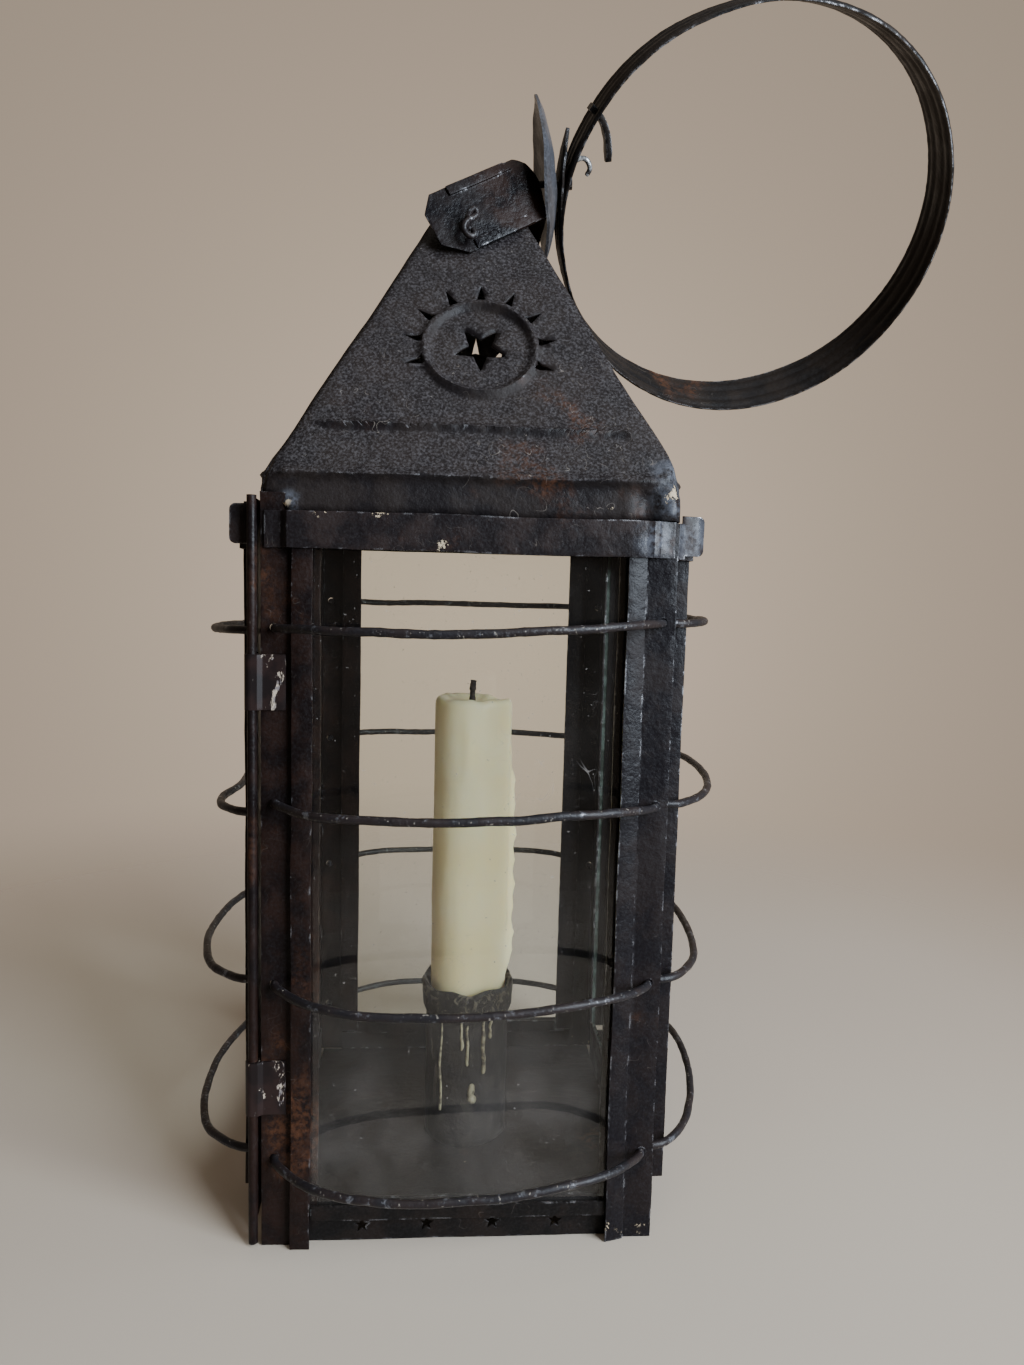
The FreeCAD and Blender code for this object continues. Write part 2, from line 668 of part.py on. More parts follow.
def tie_wire():
    path = [(-59.3, 15.2), (-55.9, 19.6), (-52.1, 19.8), (-51.1, 15.4), (-53.5, 13.6)]
    points = [V(*ring_point(p, q), 1.5) for p, q in path]
    return rod(points, [1.8, 1.8, 1.6], TIE_R)


def ring_strap():
    """Oval strap ring with lapped ends: a loose tongue outside and a hooked tail inside."""
    centre = V(RING_C[0], RING_C[1], -RING_W / 2)
    ovals = [Part.Ellipse(centre, RING_RX - t, RING_RZ - t).toShape() for t in (0, RING_T)]
    outer, inner = [Part.Face(Part.Wire(oval)).extrude(V(0, 0, RING_W)) for oval in ovals]
    band = outer.cut(inner)
    tongue = plate([(-60.1, 9.0), (-59.7, 15.0), (-58.9, 21.0), (-57.7, 27.5)], 0.9, RING_W - 2)
    tail = plate([(-50.3, 32.0), (-47.6, 29.3), (-46.0, 25.0), (-45.6, 18.5)], 1.6, 5.0)
    pin_hole = cylinder(PIN_R + RUN, V(0, 0, 0), V(14, 0, 0))
    return fuse([band, tongue, tail]).cut([pin_hole, tie_wire()])


def build():
    """Every piece by name."""
    panel = roof_panel()
    hole = pivot_hole()
    nodes = {
        "base_pan": base_pan(),
        "post_front_left": left_post(WIRE_FRONT_Z),
        "post_front_right": right_post(WIRE_FRONT_Z),
        "post_rear_right": rear(right_post(WIRE_REAR_Z)),
        "post_rear_left": rear(left_post(WIRE_REAR_Z)).cut(staple_holes()),
        "sill_front": front_sill(),
        "sill_rear": rear(front_sill()),
        "sill_right": right_sill(),
        "glass_front": front_glass(),
        "glass_rear": rear(front_glass()),
        "glass_right": right_glass(),
        "band_front": front_band(BAND_Z),
        "band_rear": rear(front_band(REAR_BAND_Z)),
        "band_right": right_band(),
        "roof_front": panel.cut(hole),
        "roof_right": turned(panel, 90),
        "roof_rear": turned(panel, 180).cut(hole),
        "roof_left": turned(panel, 270),
        "cap_pivot_wire": pivot_wire(),
        "candle_socket": candle_socket(),
        "candle": candle(),
        "wick": wick(),
        "door_hinge_stile": hinge_stile(),
        "door_latch_stile": latch_stile(),
        "door_top_rail": door_top_rail(),
        "door_bottom_rail": door_bottom_rail(),
        "door_glass": door_glass(),
        "hasp_staple": staple(),
        "hasp": hasp(),
        "hasp_pin": hasp_pin(),
        "cap_strap": cap_strap(),
        "swivel_pin": swivel_pin(),
        "smoke_disc": smoke_disc(),
        "ring_strap": to_ring(ring_strap()),
        "ring_tie_wire": to_ring(tie_wire()),
    }
    for i, sizes in enumerate(zip(WIRE_FRONT_Z, WIRE_REAR_Z, WIRE_SIDE_X), 1):
        nodes["guard_wire_%d" % i] = guard_wire(*sizes)
    for i, (z, bow) in enumerate(DOOR_WIRES, 1):
        nodes["door_wire_%d" % i] = door_wire(z, bow)
    for name, (low, high) in zip(("hinge_strap_upper", "hinge_strap_lower"), STRAP_Z):
        nodes[name] = hinge_strap(low, high)
    return nodes


os.makedirs("parts", exist_ok=True)
for name, shape in build().items():
    shape.exportStep("parts/%s.step" % name)
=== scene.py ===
"""Looks of the square tin candle lantern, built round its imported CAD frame."""

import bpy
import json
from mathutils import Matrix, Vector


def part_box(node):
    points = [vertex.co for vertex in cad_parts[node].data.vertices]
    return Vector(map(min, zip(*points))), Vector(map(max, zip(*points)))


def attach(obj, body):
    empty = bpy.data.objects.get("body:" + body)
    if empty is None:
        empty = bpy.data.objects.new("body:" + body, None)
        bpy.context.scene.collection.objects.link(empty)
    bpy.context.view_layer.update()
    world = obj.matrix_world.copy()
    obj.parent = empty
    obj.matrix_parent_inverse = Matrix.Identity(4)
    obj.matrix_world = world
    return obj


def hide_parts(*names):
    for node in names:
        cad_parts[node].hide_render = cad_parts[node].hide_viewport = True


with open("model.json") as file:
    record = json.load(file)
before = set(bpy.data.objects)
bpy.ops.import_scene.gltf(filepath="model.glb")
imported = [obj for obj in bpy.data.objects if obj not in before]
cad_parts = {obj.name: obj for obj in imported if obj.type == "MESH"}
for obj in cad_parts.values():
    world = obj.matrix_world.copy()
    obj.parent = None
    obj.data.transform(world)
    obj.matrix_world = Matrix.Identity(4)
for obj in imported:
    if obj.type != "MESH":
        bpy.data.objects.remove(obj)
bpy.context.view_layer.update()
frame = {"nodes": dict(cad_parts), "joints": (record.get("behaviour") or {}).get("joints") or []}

import json
import random
from math import atan2, ceil, copysign, cos, degrees, exp, hypot, pi, radians, sin

import bmesh
import bpy
from mathutils import Matrix, Vector, noise
from mathutils.geometry import delaunay_2d_cdt

noise.seed_set(3)        # noise_vector takes its offsets from the clock until it is seeded

# shapes are worked out in mm; materials, lights and the camera are in metres
MM = 0.001
SCENE = bpy.context.scene
JOINTS = {j["name"]: j for j in frame["joints"]}
HINGE_AT, CAP_AT, PIN_AT = [Vector(JOINTS[name]["pos_m"]) / MM
                            for name in ("door_hinge", "cap_swing", "disc_spin")]
PIN_N = Vector(JOINTS["disc_spin"]["axis"]).normalized()

CAMERA_AT = (-0.00482, -0.2775, 0.1734)
CAMERA_YAW, CAMERA_PITCH, CAMERA_ROLL = 3.95, -5.39, 1.45
LENS, SENSOR, NEAR_CLIP = 23.37, 36.0, 0.01

# dents shared by every sheet piece, so that neighbours move together
DENT_BIG, DENT_BIG_SIZE = 0.32, 30.0
DENT_SMALL, DENT_SMALL_SIZE = 0.11, 7.0
SLICE, SLICE_PHASE = 4.0, 0.37
EDGE = 0.16

WIRE_R, WIRE_STEP, WIRE_END = 1.1, 1.6, 0.62
# how far each guard wire stands above its plane: at the right front corner, on the front, on the right
WIRE_LIFT = ((3.5, 0.4, 0.8), (0.0, 2.3, 2.3), (0.0, 2.9, 0.0), (0.0, 4.2, 10.0))


# ------------------------------------------------------------------ mesh helpers

def bell(value, width):
    return exp(-(value / width) ** 2)


def step_in(value, low, high):
    """Smooth step from 0 at low to 1 at high."""
    share = max(0.0, min(1.0, (value - low) / (high - low)))
    return share * share * (3 - 2 * share)


def V(*parts):
    return Vector(parts)


def uneven(x, y, z):
    """Smooth noise from about -1 to 1."""
    return noise.noise(V(x, y, z))


def turns(count, start=0.0):
    """Angles of a full turn in equal steps, in radians."""
    return [2 * pi * (k + start) / count for k in range(count)]


def dent(p, big=DENT_BIG, small=DENT_SMALL):
    """Offset in mm of the worn sheet at a point in mm."""
    shift = noise.noise_vector(p / DENT_BIG_SIZE + V(3.1, 7.7, 1.3)) * big
    shift += noise.noise_vector(p / DENT_SMALL_SIZE + V(9.2, 2.4, 5.6)) * small
    return shift


def finish_piece(name, bm, body, materials, replaced=(), smooth=60):
    """Turns a bmesh in mm, kept above the floor, into a piece that rides on a body."""
    for v in bm.verts:
        v.co.z = max(v.co.z, 0)
        v.co *= MM
    mesh = bpy.data.meshes.new(name)
    bm.to_mesh(mesh)
    bm.free()
    mesh.shade_smooth()
    mesh.set_sharp_from_angle(angle=radians(smooth))
    for material in materials:
        mesh.materials.append(material)
    obj = bpy.data.objects.new(name, mesh)
    SCENE.collection.objects.link(obj)
    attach(obj, body)
    if replaced:
        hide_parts(*replaced)
    return obj


def node_bmesh(node, bevel):
    """The CAD node's solid in mm, its flat faces joined and its long sharp edges eased."""
    bm = bmesh.new()
    bm.from_mesh(frame["nodes"][node].data)
    bm.transform(Matrix.Scale(1 / MM, 4))
    bmesh.ops.remove_doubles(bm, verts=bm.verts, dist=1e-3)
    bmesh.ops.dissolve_limit(bm, angle_limit=radians(1), verts=bm.verts, edges=bm.edges)
    edges = [e for e in bm.edges if len(e.link_faces) == 2 and e.calc_length() > 1.4
             and e.calc_face_angle(0) > radians(28)
             and min(f.calc_area() for f in e.link_faces) > 0.5]
    bmesh.ops.bevel(bm, geom=edges, offset=bevel, offset_type="OFFSET", segments=2,
                    profile=0.6, affect="EDGES", clamp_overlap=False)
    return bm


def slice_up(bm, step):
    """Cuts a mesh along planes a step apart on each axis, so that it can bend."""
    for axis in range(3):
        normal = V(0, 0, 0)
        normal[axis] = 1
        heights = [v.co[axis] for v in bm.verts]
        first, last = [ceil(h / step - SLICE_PHASE) for h in (min(heights), max(heights))]
        for k in range(first, last):
            geom = bm.verts[:] + bm.edges[:] + bm.faces[:]
            bmesh.ops.bisect_plane(bm, geom=geom, dist=1e-4, plane_co=normal * (k + SLICE_PHASE) * step,
                                   plane_no=normal)


def calm_near_hinge(p):
    """0 on the hinge barrel, so that it turns cleanly, and 1 away from it."""
    return step_in(hypot(p.x - HINGE_AT.x, p.y - HINGE_AT.y), 1.9, 5.0)


def worn_copy(node, body, material, step=SLICE, bevel=EDGE):
    """Detailed stand-in for a CAD sheet piece: eased edges, small dents and its own bends."""
    bm = node_bmesh(node, bevel)
    slice_up(bm, step)
    for v in bm.verts:
        p = v.co.copy()
        v.co += dent(p) * calm_near_hinge(p)
        if node in BENDS:
            v.co += BENDS[node](p)
    finish_piece(node + "_worn", bm, body, [material], [node], smooth=32)


def chaikin(points, rounds=3):
    """Rounds the corners of an open path."""
    for _ in range(rounds):
        out = [points[0]]
        for i, (a, b) in enumerate(zip(points, points[1:])):
            if i:
                out.append(a.lerp(b, 0.25))
            if i < len(points) - 2:
                out.append(a.lerp(b, 0.75))
        points = out + [points[-1]]
    return points


def resample(points, step):
    """Points at equal distances along a path."""
    lengths = [0.0]
    for a, b in zip(points, points[1:]):
        lengths.append(lengths[-1] + (b - a).length)
    count = max(2, round(lengths[-1] / step))
    out, i = [], 0
    for k in range(count + 1):
        at = lengths[-1] * k / count
        while i < len(points) - 2 and lengths[i + 1] < at:
            i += 1
        share = (at - lengths[i]) / max(lengths[i + 1] - lengths[i], 1e-9)
        out.append(points[i].lerp(points[i + 1], share))
    return out


def frames_along(path):
    """Two normals at each point of a path, carried along without twist."""
    last = len(path) - 1
    tangents = [(path[min(i + 1, last)] - path[max(i - 1, 0)]).normalized() for i in range(last + 1)]
    side = tangents[0].orthogonal().normalized()
    out = []
    for t in tangents:
        side = (side - t * side.dot(t)).normalized()
        out.append((side, t.cross(side)))
    return out


def skin(bm, rings, ends=True):
    """Adds the faces between rings of vertices, and the two end faces when asked."""
    faces = []
    for low, high in zip(rings, rings[1:]):
        count = len(low)
        for k in range(count):
            after = (k + 1) % count
            faces.append(bm.faces.new((low[k], low[after], high[after], high[k])))
    if ends:
        bm.faces.new(rings[0][::-1])
        bm.faces.new(rings[-1])
    return faces


def tube_piece(name, path, radius, body, material, replaced=(), sides=12, lumps=0.09,
               end=WIRE_END, taper=1.0):
    """A wire, wick or drip of the given radius along a path of points in mm."""
    bm = bmesh.new()
    rings = []
    last = len(path) - 1
    for i, (p, (a, b)) in enumerate(zip(path, frames_along(path))):
        scale = 1 + lumps * noise.noise(p / 2.3) + lumps * 0.7 * noise.noise(p / 0.9)
        scale *= 1 + (taper - 1) * i / last
        if i in (0, last):
            scale *= end
        rings.append([bm.verts.new(p + (a * cos(turn) + b * sin(turn)) * radius * scale)
                      for turn in turns(sides)])
    skin(bm, rings)
    finish_piece(name, bm, body, [material], replaced)


def wire_path(stations, wobble, seed, step=WIRE_STEP):
    """Smooth path through bent stations with the small waviness of hand-bent wire."""
    path = resample(chaikin(stations, 4), step)
    for i, p in enumerate(path[1:-1], 1):
        fade = min(1.0, min(i, len(path) - 1 - i) / 5)
        slow = noise.noise_vector(p / 17 + V(seed, seed, 0))
        quick = noise.noise_vector(p / 5 + V(0, seed, seed))
        path[i] = p + slow * wobble * fade + quick * wobble * 0.3 * fade
    return path


# ------------------------------------------------------------------ materials

class Paint:
    """Node material in object space, in metres."""

    def __init__(self, name):
        self.material = bpy.data.materials.new(name)
        self.material.use_nodes = True
        self.tree = self.material.node_tree
        self.tree.nodes.clear()
        self.output = self.put("OutputMaterial")
        self.coords = self.put("TexCoord").outputs["Object"]

    def put(self, kind, settings=None, **inputs):
        """Adds a node; i0, i1 ... name inputs by place, and other names by what they are called."""
        node = self.tree.nodes.new("ShaderNode" + kind)
        for key, value in (settings or {}).items():
            setattr(node, key, value)
        for key, value in inputs.items():
            place = int(key[1:]) if key[0] == "i" and key[1:].isdigit() else key.replace("_", " ")
            if isinstance(value, bpy.types.NodeSocket):
                self.tree.links.new(value, node.inputs[place])
            else:
                node.inputs[place].default_value = value
        return node

    def noise(self, per_m, detail=2.0, rough=0.5, distortion=0.0, at=None):
        return self.put("TexNoise", Vector=at or self.coords, Scale=per_m, Detail=detail,
                        Roughness=rough, Distortion=distortion).outputs["Fac"]

    def ramp(self, value, low, high, to_low=0.0, to_high=1.0):
        return self.put("MapRange", {"interpolation_type": "SMOOTHSTEP"}, Value=value,
                        From_Min=low, From_Max=high, To_Min=to_low, To_Max=to_high).outputs[0]

    def math(self, operation, a, b=0.0):
        return self.put("Math", {"operation": operation}, i0=a, i1=b).outputs[0]

    def times(self, a, b):
        return self.math("MULTIPLY", a, b)

    def plus(self, a, b):
        return self.math("ADD", a, b)

    def vector(self, operation, a, b):
        return self.put("VectorMath", {"operation": operation}, i0=a, i1=b).outputs["Value"]

    def height(self):
        return self.put("SeparateXYZ", Vector=self.coords).outputs["Z"]

    def mix(self, share, a, b):
        a, b = [c if isinstance(c, bpy.types.NodeSocket) else (*c, 1.0) for c in (a, b)]
        return self.put("Mix", {"data_type": "RGBA"}, i0=share, i6=a, i7=b).outputs[2]

    def stretched(self, x, y, z):
        return self.put("Mapping", Vector=self.coords, Scale=(x, y, z)).outputs[0]

    def edges(self, radius):
        """1 near an edge of the piece, 0 on its faces."""
        eased = self.put("Bevel", {"samples": 4}, Radius=radius).outputs[0]
        true = self.put("NewGeometry").outputs["Normal"]
        return self.ramp(self.vector("DOT_PRODUCT", eased, true), 0.995, 0.86)

    def lines(self, per_m, width, distortion=1.2):
        """Thin curling lines, like fibres and scratches."""
        n = self.noise(per_m, 1.0, 0.4, distortion)
        return self.ramp(self.math("ABSOLUTE", self.math("SUBTRACT", n, 0.5)), width, 0.0)

    def bump(self, height, strength, distance, onto=None):
        inputs = {"Height": height, "Strength": strength, "Distance": distance}
        if onto:
            inputs["Normal"] = onto
        return self.put("Bump", **inputs).outputs[0]

    def spots(self, places):
        """1 at the middle of each (x, y, z, radius) place in mm, falling to 0 at its radius."""
        near = None
        for *point, radius in places:
            away = self.vector("DISTANCE", self.coords, [MM * c for c in point])
            spot = self.ramp(away, MM * radius, 0.0)
            near = self.math("MAXIMUM", near, spot) if near else spot
        return near

    def surface(self, shader):
        self.tree.links.new(shader.outputs[0], self.output.inputs["Surface"])
        return self.material

    def coat(self, colour, roughness, normal, **more):
        """Ends the material with one principled shader."""
        return self.surface(self.put("BsdfPrincipled", Base_Color=colour, Roughness=roughness,
                                     Normal=normal, **more))


RUST, DUST_SPECK, FIBRE = (0.058, 0.023, 0.011), (0.15, 0.135, 0.12), (0.22, 0.19, 0.16)
# the first colour here is a bluish painted highlight, the window's reflection, laid on polished places; bare
# metal and primer are real wear
PAINTED_HIGHLIGHT, BARE, PRIMER = (0.082, 0.088, 0.105), (0.25, 0.245, 0.255), (0.40, 0.32, 0.22)


def tin(name, dark=(0.010, 0.008, 0.008), brown=(0.020, 0.011, 0.008), rust=0.25, dust=0.3,
        wear=0.5, chips=0.25, scratches=0.3, rough=0.40, dust_and_sheen=(0.040, 0.041, 0.045), grain=0.6,
        gloss=0.20, foot=0.0, settled_dust_and_top_light=0.0, chipped=(), polish_and_highlight=(), rust_past=None):
    """Worn dark paint over tin plate.

    foot adds chips close to the floor and settled keeps dust, and the painted light from above that it stands
    in for, on slopes; chipped are worn places, polished are glossy worn places painted a bluish highlight,
    and rust_past is a direction with the two distances where rust begins.
    """
    m = Paint(name)
    blotch = m.noise(85, 4, 0.6)
    patch = m.noise(33, 3, 0.55)
    grit = m.noise(1500, 3, 0.6)
    fleck = m.noise(620, 3, 0.65)
    breakup = m.noise(230, 4, 0.7)
    # paint, rust, a pale colour on what faces up that is partly real dust and partly painted light from above
    # on slopes and the pan, and short fibres
    colour = m.mix(m.ramp(blotch, 0.40, 0.60), dark, brown)
    rusty = m.times(m.ramp(patch, 0.68 - 0.25 * rust, 0.82 - 0.25 * rust), m.ramp(fleck, 0.35, 0.65))
    if rust_past:
        along = m.vector("DOT_PRODUCT", m.coords, rust_past[0])
        beyond = m.times(m.ramp(along, *rust_past[1:]), m.ramp(blotch, 0.38, 0.58))
        rusty = m.math("MAXIMUM", rusty, m.times(beyond, 0.15))
    colour = m.mix(rusty, colour, RUST)
    facing = m.put("SeparateXYZ", Vector=m.put("TexCoord").outputs["Normal"]).outputs["Z"]
    lying_dust_and_top_light = m.ramp(facing, 0.10, 0.42, 1.0 - settled_dust_and_top_light, 1.0)
    dust_and_sheen_mask = m.times(m.times(m.ramp(grit, 0.38, 0.78), dust), lying_dust_and_top_light)
    colour = m.mix(dust_and_sheen_mask, colour, dust_and_sheen)
    specks = m.times(m.times(m.ramp(fleck, 0.69, 0.74), min(1.0, dust * 0.7)), lying_dust_and_top_light)
    colour = m.mix(specks, colour, DUST_SPECK)
    fibres = m.times(m.lines(120, 0.004), m.ramp(patch, 0.48, 0.6))
    short = m.times(fibres, m.ramp(m.noise(260, 2), 0.50, 0.58))
    colour = m.mix(m.times(short, scratches), colour, FIBRE)
    # edges and places rubbed to the metal, and paint flaked to its primer
    bare = m.times(m.edges(0.0008), m.ramp(breakup, 0.64 - 0.2 * wear, 0.76 - 0.2 * wear))
    # polished places are painted a bluish highlight that stands in for the window's reflection; their lower
    # roughness further down is real gloss
    if polish_and_highlight:
        shine = m.times(m.spots(polish_and_highlight), m.ramp(breakup, 0.40, 0.60))
        colour = m.mix(shine, colour, PAINTED_HIGHLIGHT)
    colour = m.mix(bare, colour, BARE)
    low = m.ramp(m.height(), 0.010, 0.003, 0.0, 0.16 * foot)
    if chipped:
        low = m.math("MAXIMUM", low, m.times(m.spots(chipped), 0.22))
    flaking = m.plus(m.noise(190, 5, 0.75), low)
    flake = m.times(m.ramp(flaking, 0.735 - 0.08 * chips, 0.755 - 0.08 * chips),
                    m.ramp(m.plus(patch, low), 0.50, 0.60))
    colour = m.mix(flake, colour, PRIMER)
    roughness = m.plus(m.ramp(blotch, 0.3, 0.7, rough - 0.10, rough + 0.12), m.times(dust_and_sheen_mask, 0.35))
    if polish_and_highlight:
        roughness = m.math("SUBTRACT", roughness, m.times(shine, 0.14))
    lumps = m.bump(m.noise(170, 3, 0.55), 0.4, 0.0007)
    pits = m.bump(m.noise(520, 3, 0.6), 0.35 + 0.3 * grain, 0.00035, lumps)
    fine = m.bump(grit, grain * 0.6, 0.00014, pits)
    return m.coat(colour, roughness, m.bump(flake, 0.6, -0.00012, fine), Specular_IOR_Level=gloss,
                  Metallic=m.times(bare, 0.7))


def wire_metal(name, base=(0.010, 0.0088, 0.0105), light=(0.14, 0.142, 0.155), share=0.4, rough=0.33):
    """Painted wire, worn to the metal over a share of its length."""
    m = Paint(name)
    worn = m.ramp(m.noise(340, 4, 0.7), 0.66 - 0.22 * share, 0.80 - 0.22 * share)
    colour = m.mix(m.ramp(m.noise(120, 3), 0.4, 0.62), base, (0.015, 0.0105, 0.0105))
    colour = m.mix(worn, colour, light)
    speck = m.ramp(m.noise(1100, 2), 0.66, 0.72)
    colour = m.mix(m.times(speck, 0.5), colour, (0.3, 0.27, 0.23))
    return m.coat(colour, m.ramp(worn, 0, 1, rough + 0.12, rough - 0.06),
                  m.bump(m.noise(620, 3, 0.65), 0.7, 0.0004), Specular_IOR_Level=0.25,
                  Metallic=m.times(worn, 0.6))


def scraped_tin(name):
    """Hinge straps: dark paint scraped back to cream primer and bare tin."""
    m = Paint(name)
    mask = m.ramp(m.noise(1, 5, 0.72, 0.4, at=m.stretched(300, 300, 120)), 0.565, 0.60)
    colour = m.mix(m.ramp(m.noise(160, 3), 0.4, 0.6), (0.009, 0.006, 0.006), (0.018, 0.010, 0.009))
    scraped = m.mix(m.ramp(m.noise(600, 3), 0.45, 0.6), (0.40, 0.33, 0.26), (0.15, 0.13, 0.13))
    return m.coat(m.mix(mask, colour, scraped), m.ramp(mask, 0, 1, 0.46, 0.6), m.bump(mask, 0.7, -0.0002),
                  Specular_IOR_Level=0.15)


def pane(name):
    """Old window glass: slightly green, with a thin film of dust, specks and hairs."""
    m = Paint(name)
    behind = m.put("NewGeometry").outputs["Backfacing"]
    mirror = m.times(m.put("Fresnel", IOR=1.5).outputs[0], m.math("SUBTRACT", 1.0, behind))
    film = m.ramp(m.noise(24, 4, 0.6), 0.40, 0.80, 0.002, 0.014)
    low = m.ramp(m.height(), 0.078, 0.030, 0.0, 0.036)
    film = m.plus(film, m.times(low, m.ramp(m.noise(48, 5, 0.65), 0.36, 0.64, 0.2, 1.0)))
    specks = m.times(m.ramp(m.noise(900, 2), 0.72, 0.76), 0.35)
    hairs = m.times(m.lines(70, 0.0018, 1.8), m.ramp(m.noise(26, 2), 0.58, 0.64))
    dirt = m.plus(m.plus(film, specks), m.times(hairs, 0.3))
    clear = m.put("BsdfTransparent", Color=(0.985, 0.992, 0.975, 1))
    ripple = m.bump(m.noise(16, 2), 0.08, 0.002)
    shine = m.put("BsdfGlossy", Color=(1, 1, 1, 1), Roughness=0.008, Normal=ripple)
    glass = m.put("MixShader", i0=mirror, i1=clear.outputs[0], i2=shine.outputs[0])
    dust = m.put("BsdfDiffuse", Color=(0.34, 0.31, 0.295, 1))
    return m.surface(m.put("MixShader", i0=dirt, i1=glass.outputs[0], i2=dust.outputs[0]))


def mottled(name, per_m, mottle, dark, light, roughness, bump):
    """Two colours in patches, with a bump of (per m, detail, strength, distance)."""
    m = Paint(name)
    return m.coat(m.mix(m.ramp(m.noise(per_m, 3, mottle[0]), *mottle[1:]), dark, light), roughness,
                  m.bump(m.noise(bump[0], bump[1]), *bump[2:]))


def wax_material(name):
    """Ivory wax, yellower low down, with specks of soot."""
    m = Paint(name)
    cloud = m.noise(45, 3, 0.5)
    colour = m.mix(m.ramp(cloud, 0.35, 0.7), (0.98, 0.81, 0.46), (0.99, 0.86, 0.56))
    colour = m.mix(m.ramp(m.height(), 0.11, 0.04, 0.0, 0.4), colour, (0.91, 0.78, 0.43))
    specks = m.times(m.ramp(m.noise(700, 3), 0.70, 0.76), 0.35)
    colour = m.mix(specks, colour, (0.28, 0.25, 0.18))
    return m.coat(colour, m.ramp(cloud, 0.3, 0.7, 0.30, 0.46), m.bump(m.noise(160, 4, 0.6), 0.25, 0.0006),
                  Subsurface_Weight=0.4, Subsurface_Scale=0.005, Subsurface_Radius=(1.0, 0.85, 0.5),
                  Coat_Weight=0.12)


def waxy_tin(name):
    """Candle socket: dark tin under streaks and smears of spilt wax."""
    m = Paint(name)
    height = m.height()
    run = m.noise(1, 4, 0.6, 0.3, at=m.stretched(210, 210, 60))
    collar = m.ramp(height, 0.040, 0.044)
    streak = m.times(m.ramp(run, 0.60, 0.66), m.ramp(height, 0.006, 0.036, 0.0, 0.55))
    swirl = m.times(m.ramp(m.noise(260, 4, 0.6, 1.5), 0.53, 0.62), collar)
    waxy = m.math("MAXIMUM", streak, m.times(swirl, 0.5))
    colour = m.mix(m.ramp(m.noise(110, 4), 0.4, 0.62), (0.012, 0.0105, 0.011), (0.024, 0.020, 0.018))
    colour = m.mix(waxy, colour, (0.24, 0.21, 0.15))
    grime = m.ramp(m.noise(420, 4, 0.7), 0.52, 0.66)
    colour = m.mix(m.times(grime, 0.5), colour, (0.050, 0.042, 0.036))
    return m.coat(colour, m.ramp(waxy, 0, 1, 0.5, 0.34),
                  m.bump(waxy, 0.6, 0.0005, m.bump(m.noise(500, 3), 0.5, 0.0003)), Specular_IOR_Level=0.3)


def floor_material(name):
    """Pale floor that fades into the light of the studio far from the object."""
    m = Paint(name)
    colour = m.mix(m.ramp(m.noise(2.5, 2), 0.3, 0.7), FLOOR_DARK, FLOOR_LIGHT)
    floor, gone = m.put("BsdfDiffuse", Color=colour), m.put("BsdfTransparent")
    away = m.put("VectorMath", {"operation": "LENGTH"}, i0=m.coords).outputs["Value"]
    return m.surface(m.put("MixShader", i0=m.ramp(away, *FLOOR_FADE), i1=floor.outputs[0],
                           i2=gone.outputs[0]))


# places as (x, y, z, radius) in mm: worn scrapes and chips, and shine spots, which are painted highlights of
# the window on glossy worn places; and the cap's long direction
SCRAPES = ((-50.6, -54, 191, 4), (-50.8, -54, 186, 4))
FOOT_CHIPS = ((38.6, -54.5, 4.7, 6), (42.5, -54.5, 3.5, 6))
ROOF_CHIPS = ((50.2, -52, 208, 5), (50, -53.5, 200.5, 6), (51.2, -53.5, 196, 4), (33.6, -54, 197.2, 4),
              (-46.2, -54, 201.4, 4), (-47.4, -54, 196, 5))
# painted bluish highlights at the roof's corners
ROOF_POLISH_AND_HIGHLIGHT = ((49.7, -53, 199, 7), (49.5, -51, 206, 6), (-45.5, -54, 196, 4))
BAND_CHIPS = ((-38.5, -55, 193.2, 3.5), (-36.2, -55, 193, 3.5), (-24, -55, 193.2, 3.5), (-21.8, -55, 193, 3),
              (-7.4, -55, 185.7, 4), (50, -54.5, 185, 4))
# painted bluish highlights on the band's curved right end and the tab
BAND_POLISH_AND_HIGHLIGHT = ((46.5, -55, 189.5, 8), (56.6, -52, 190.5, 10))
CAP_ALONG = (0.857, 0.0, 0.515)
FLOOR_DARK, FLOOR_LIGHT, FLOOR_FADE = (0.44, 0.37, 0.30), (0.48, 0.415, 0.34), (0.12, 0.55)

# one paint in two copies: the left one warmer and browner as painted shade and warm reflection on the side
# away from the window, with some real rust; the right one cooler as painted window light
LEFT_SHADED_TIN = tin("tin_left_shaded", dark=(0.005, 0.003, 0.003), brown=(0.012, 0.0055, 0.004), rust=0.35, dust=0.12,
               wear=0.35, foot=0.4, gloss=0.12, chipped=SCRAPES, scratches=0.15)
RIGHT_LIT_TIN = tin("tin_right_lit", dark=(0.0052, 0.0042, 0.0054), brown=(0.0085, 0.0055, 0.0055), rust=0.0,
                dust=0.15, wear=0.6, gloss=0.13, foot=0.6, chipped=FOOT_CHIPS, scratches=0.2)
BAND_TIN = tin("tin_band", dark=(0.008, 0.006, 0.0065), brown=(0.016, 0.010, 0.009), dust=0.18, wear=0.6,
               chips=0.6, gloss=0.16, chipped=BAND_CHIPS, polish_and_highlight=BAND_POLISH_AND_HIGHLIGHT)
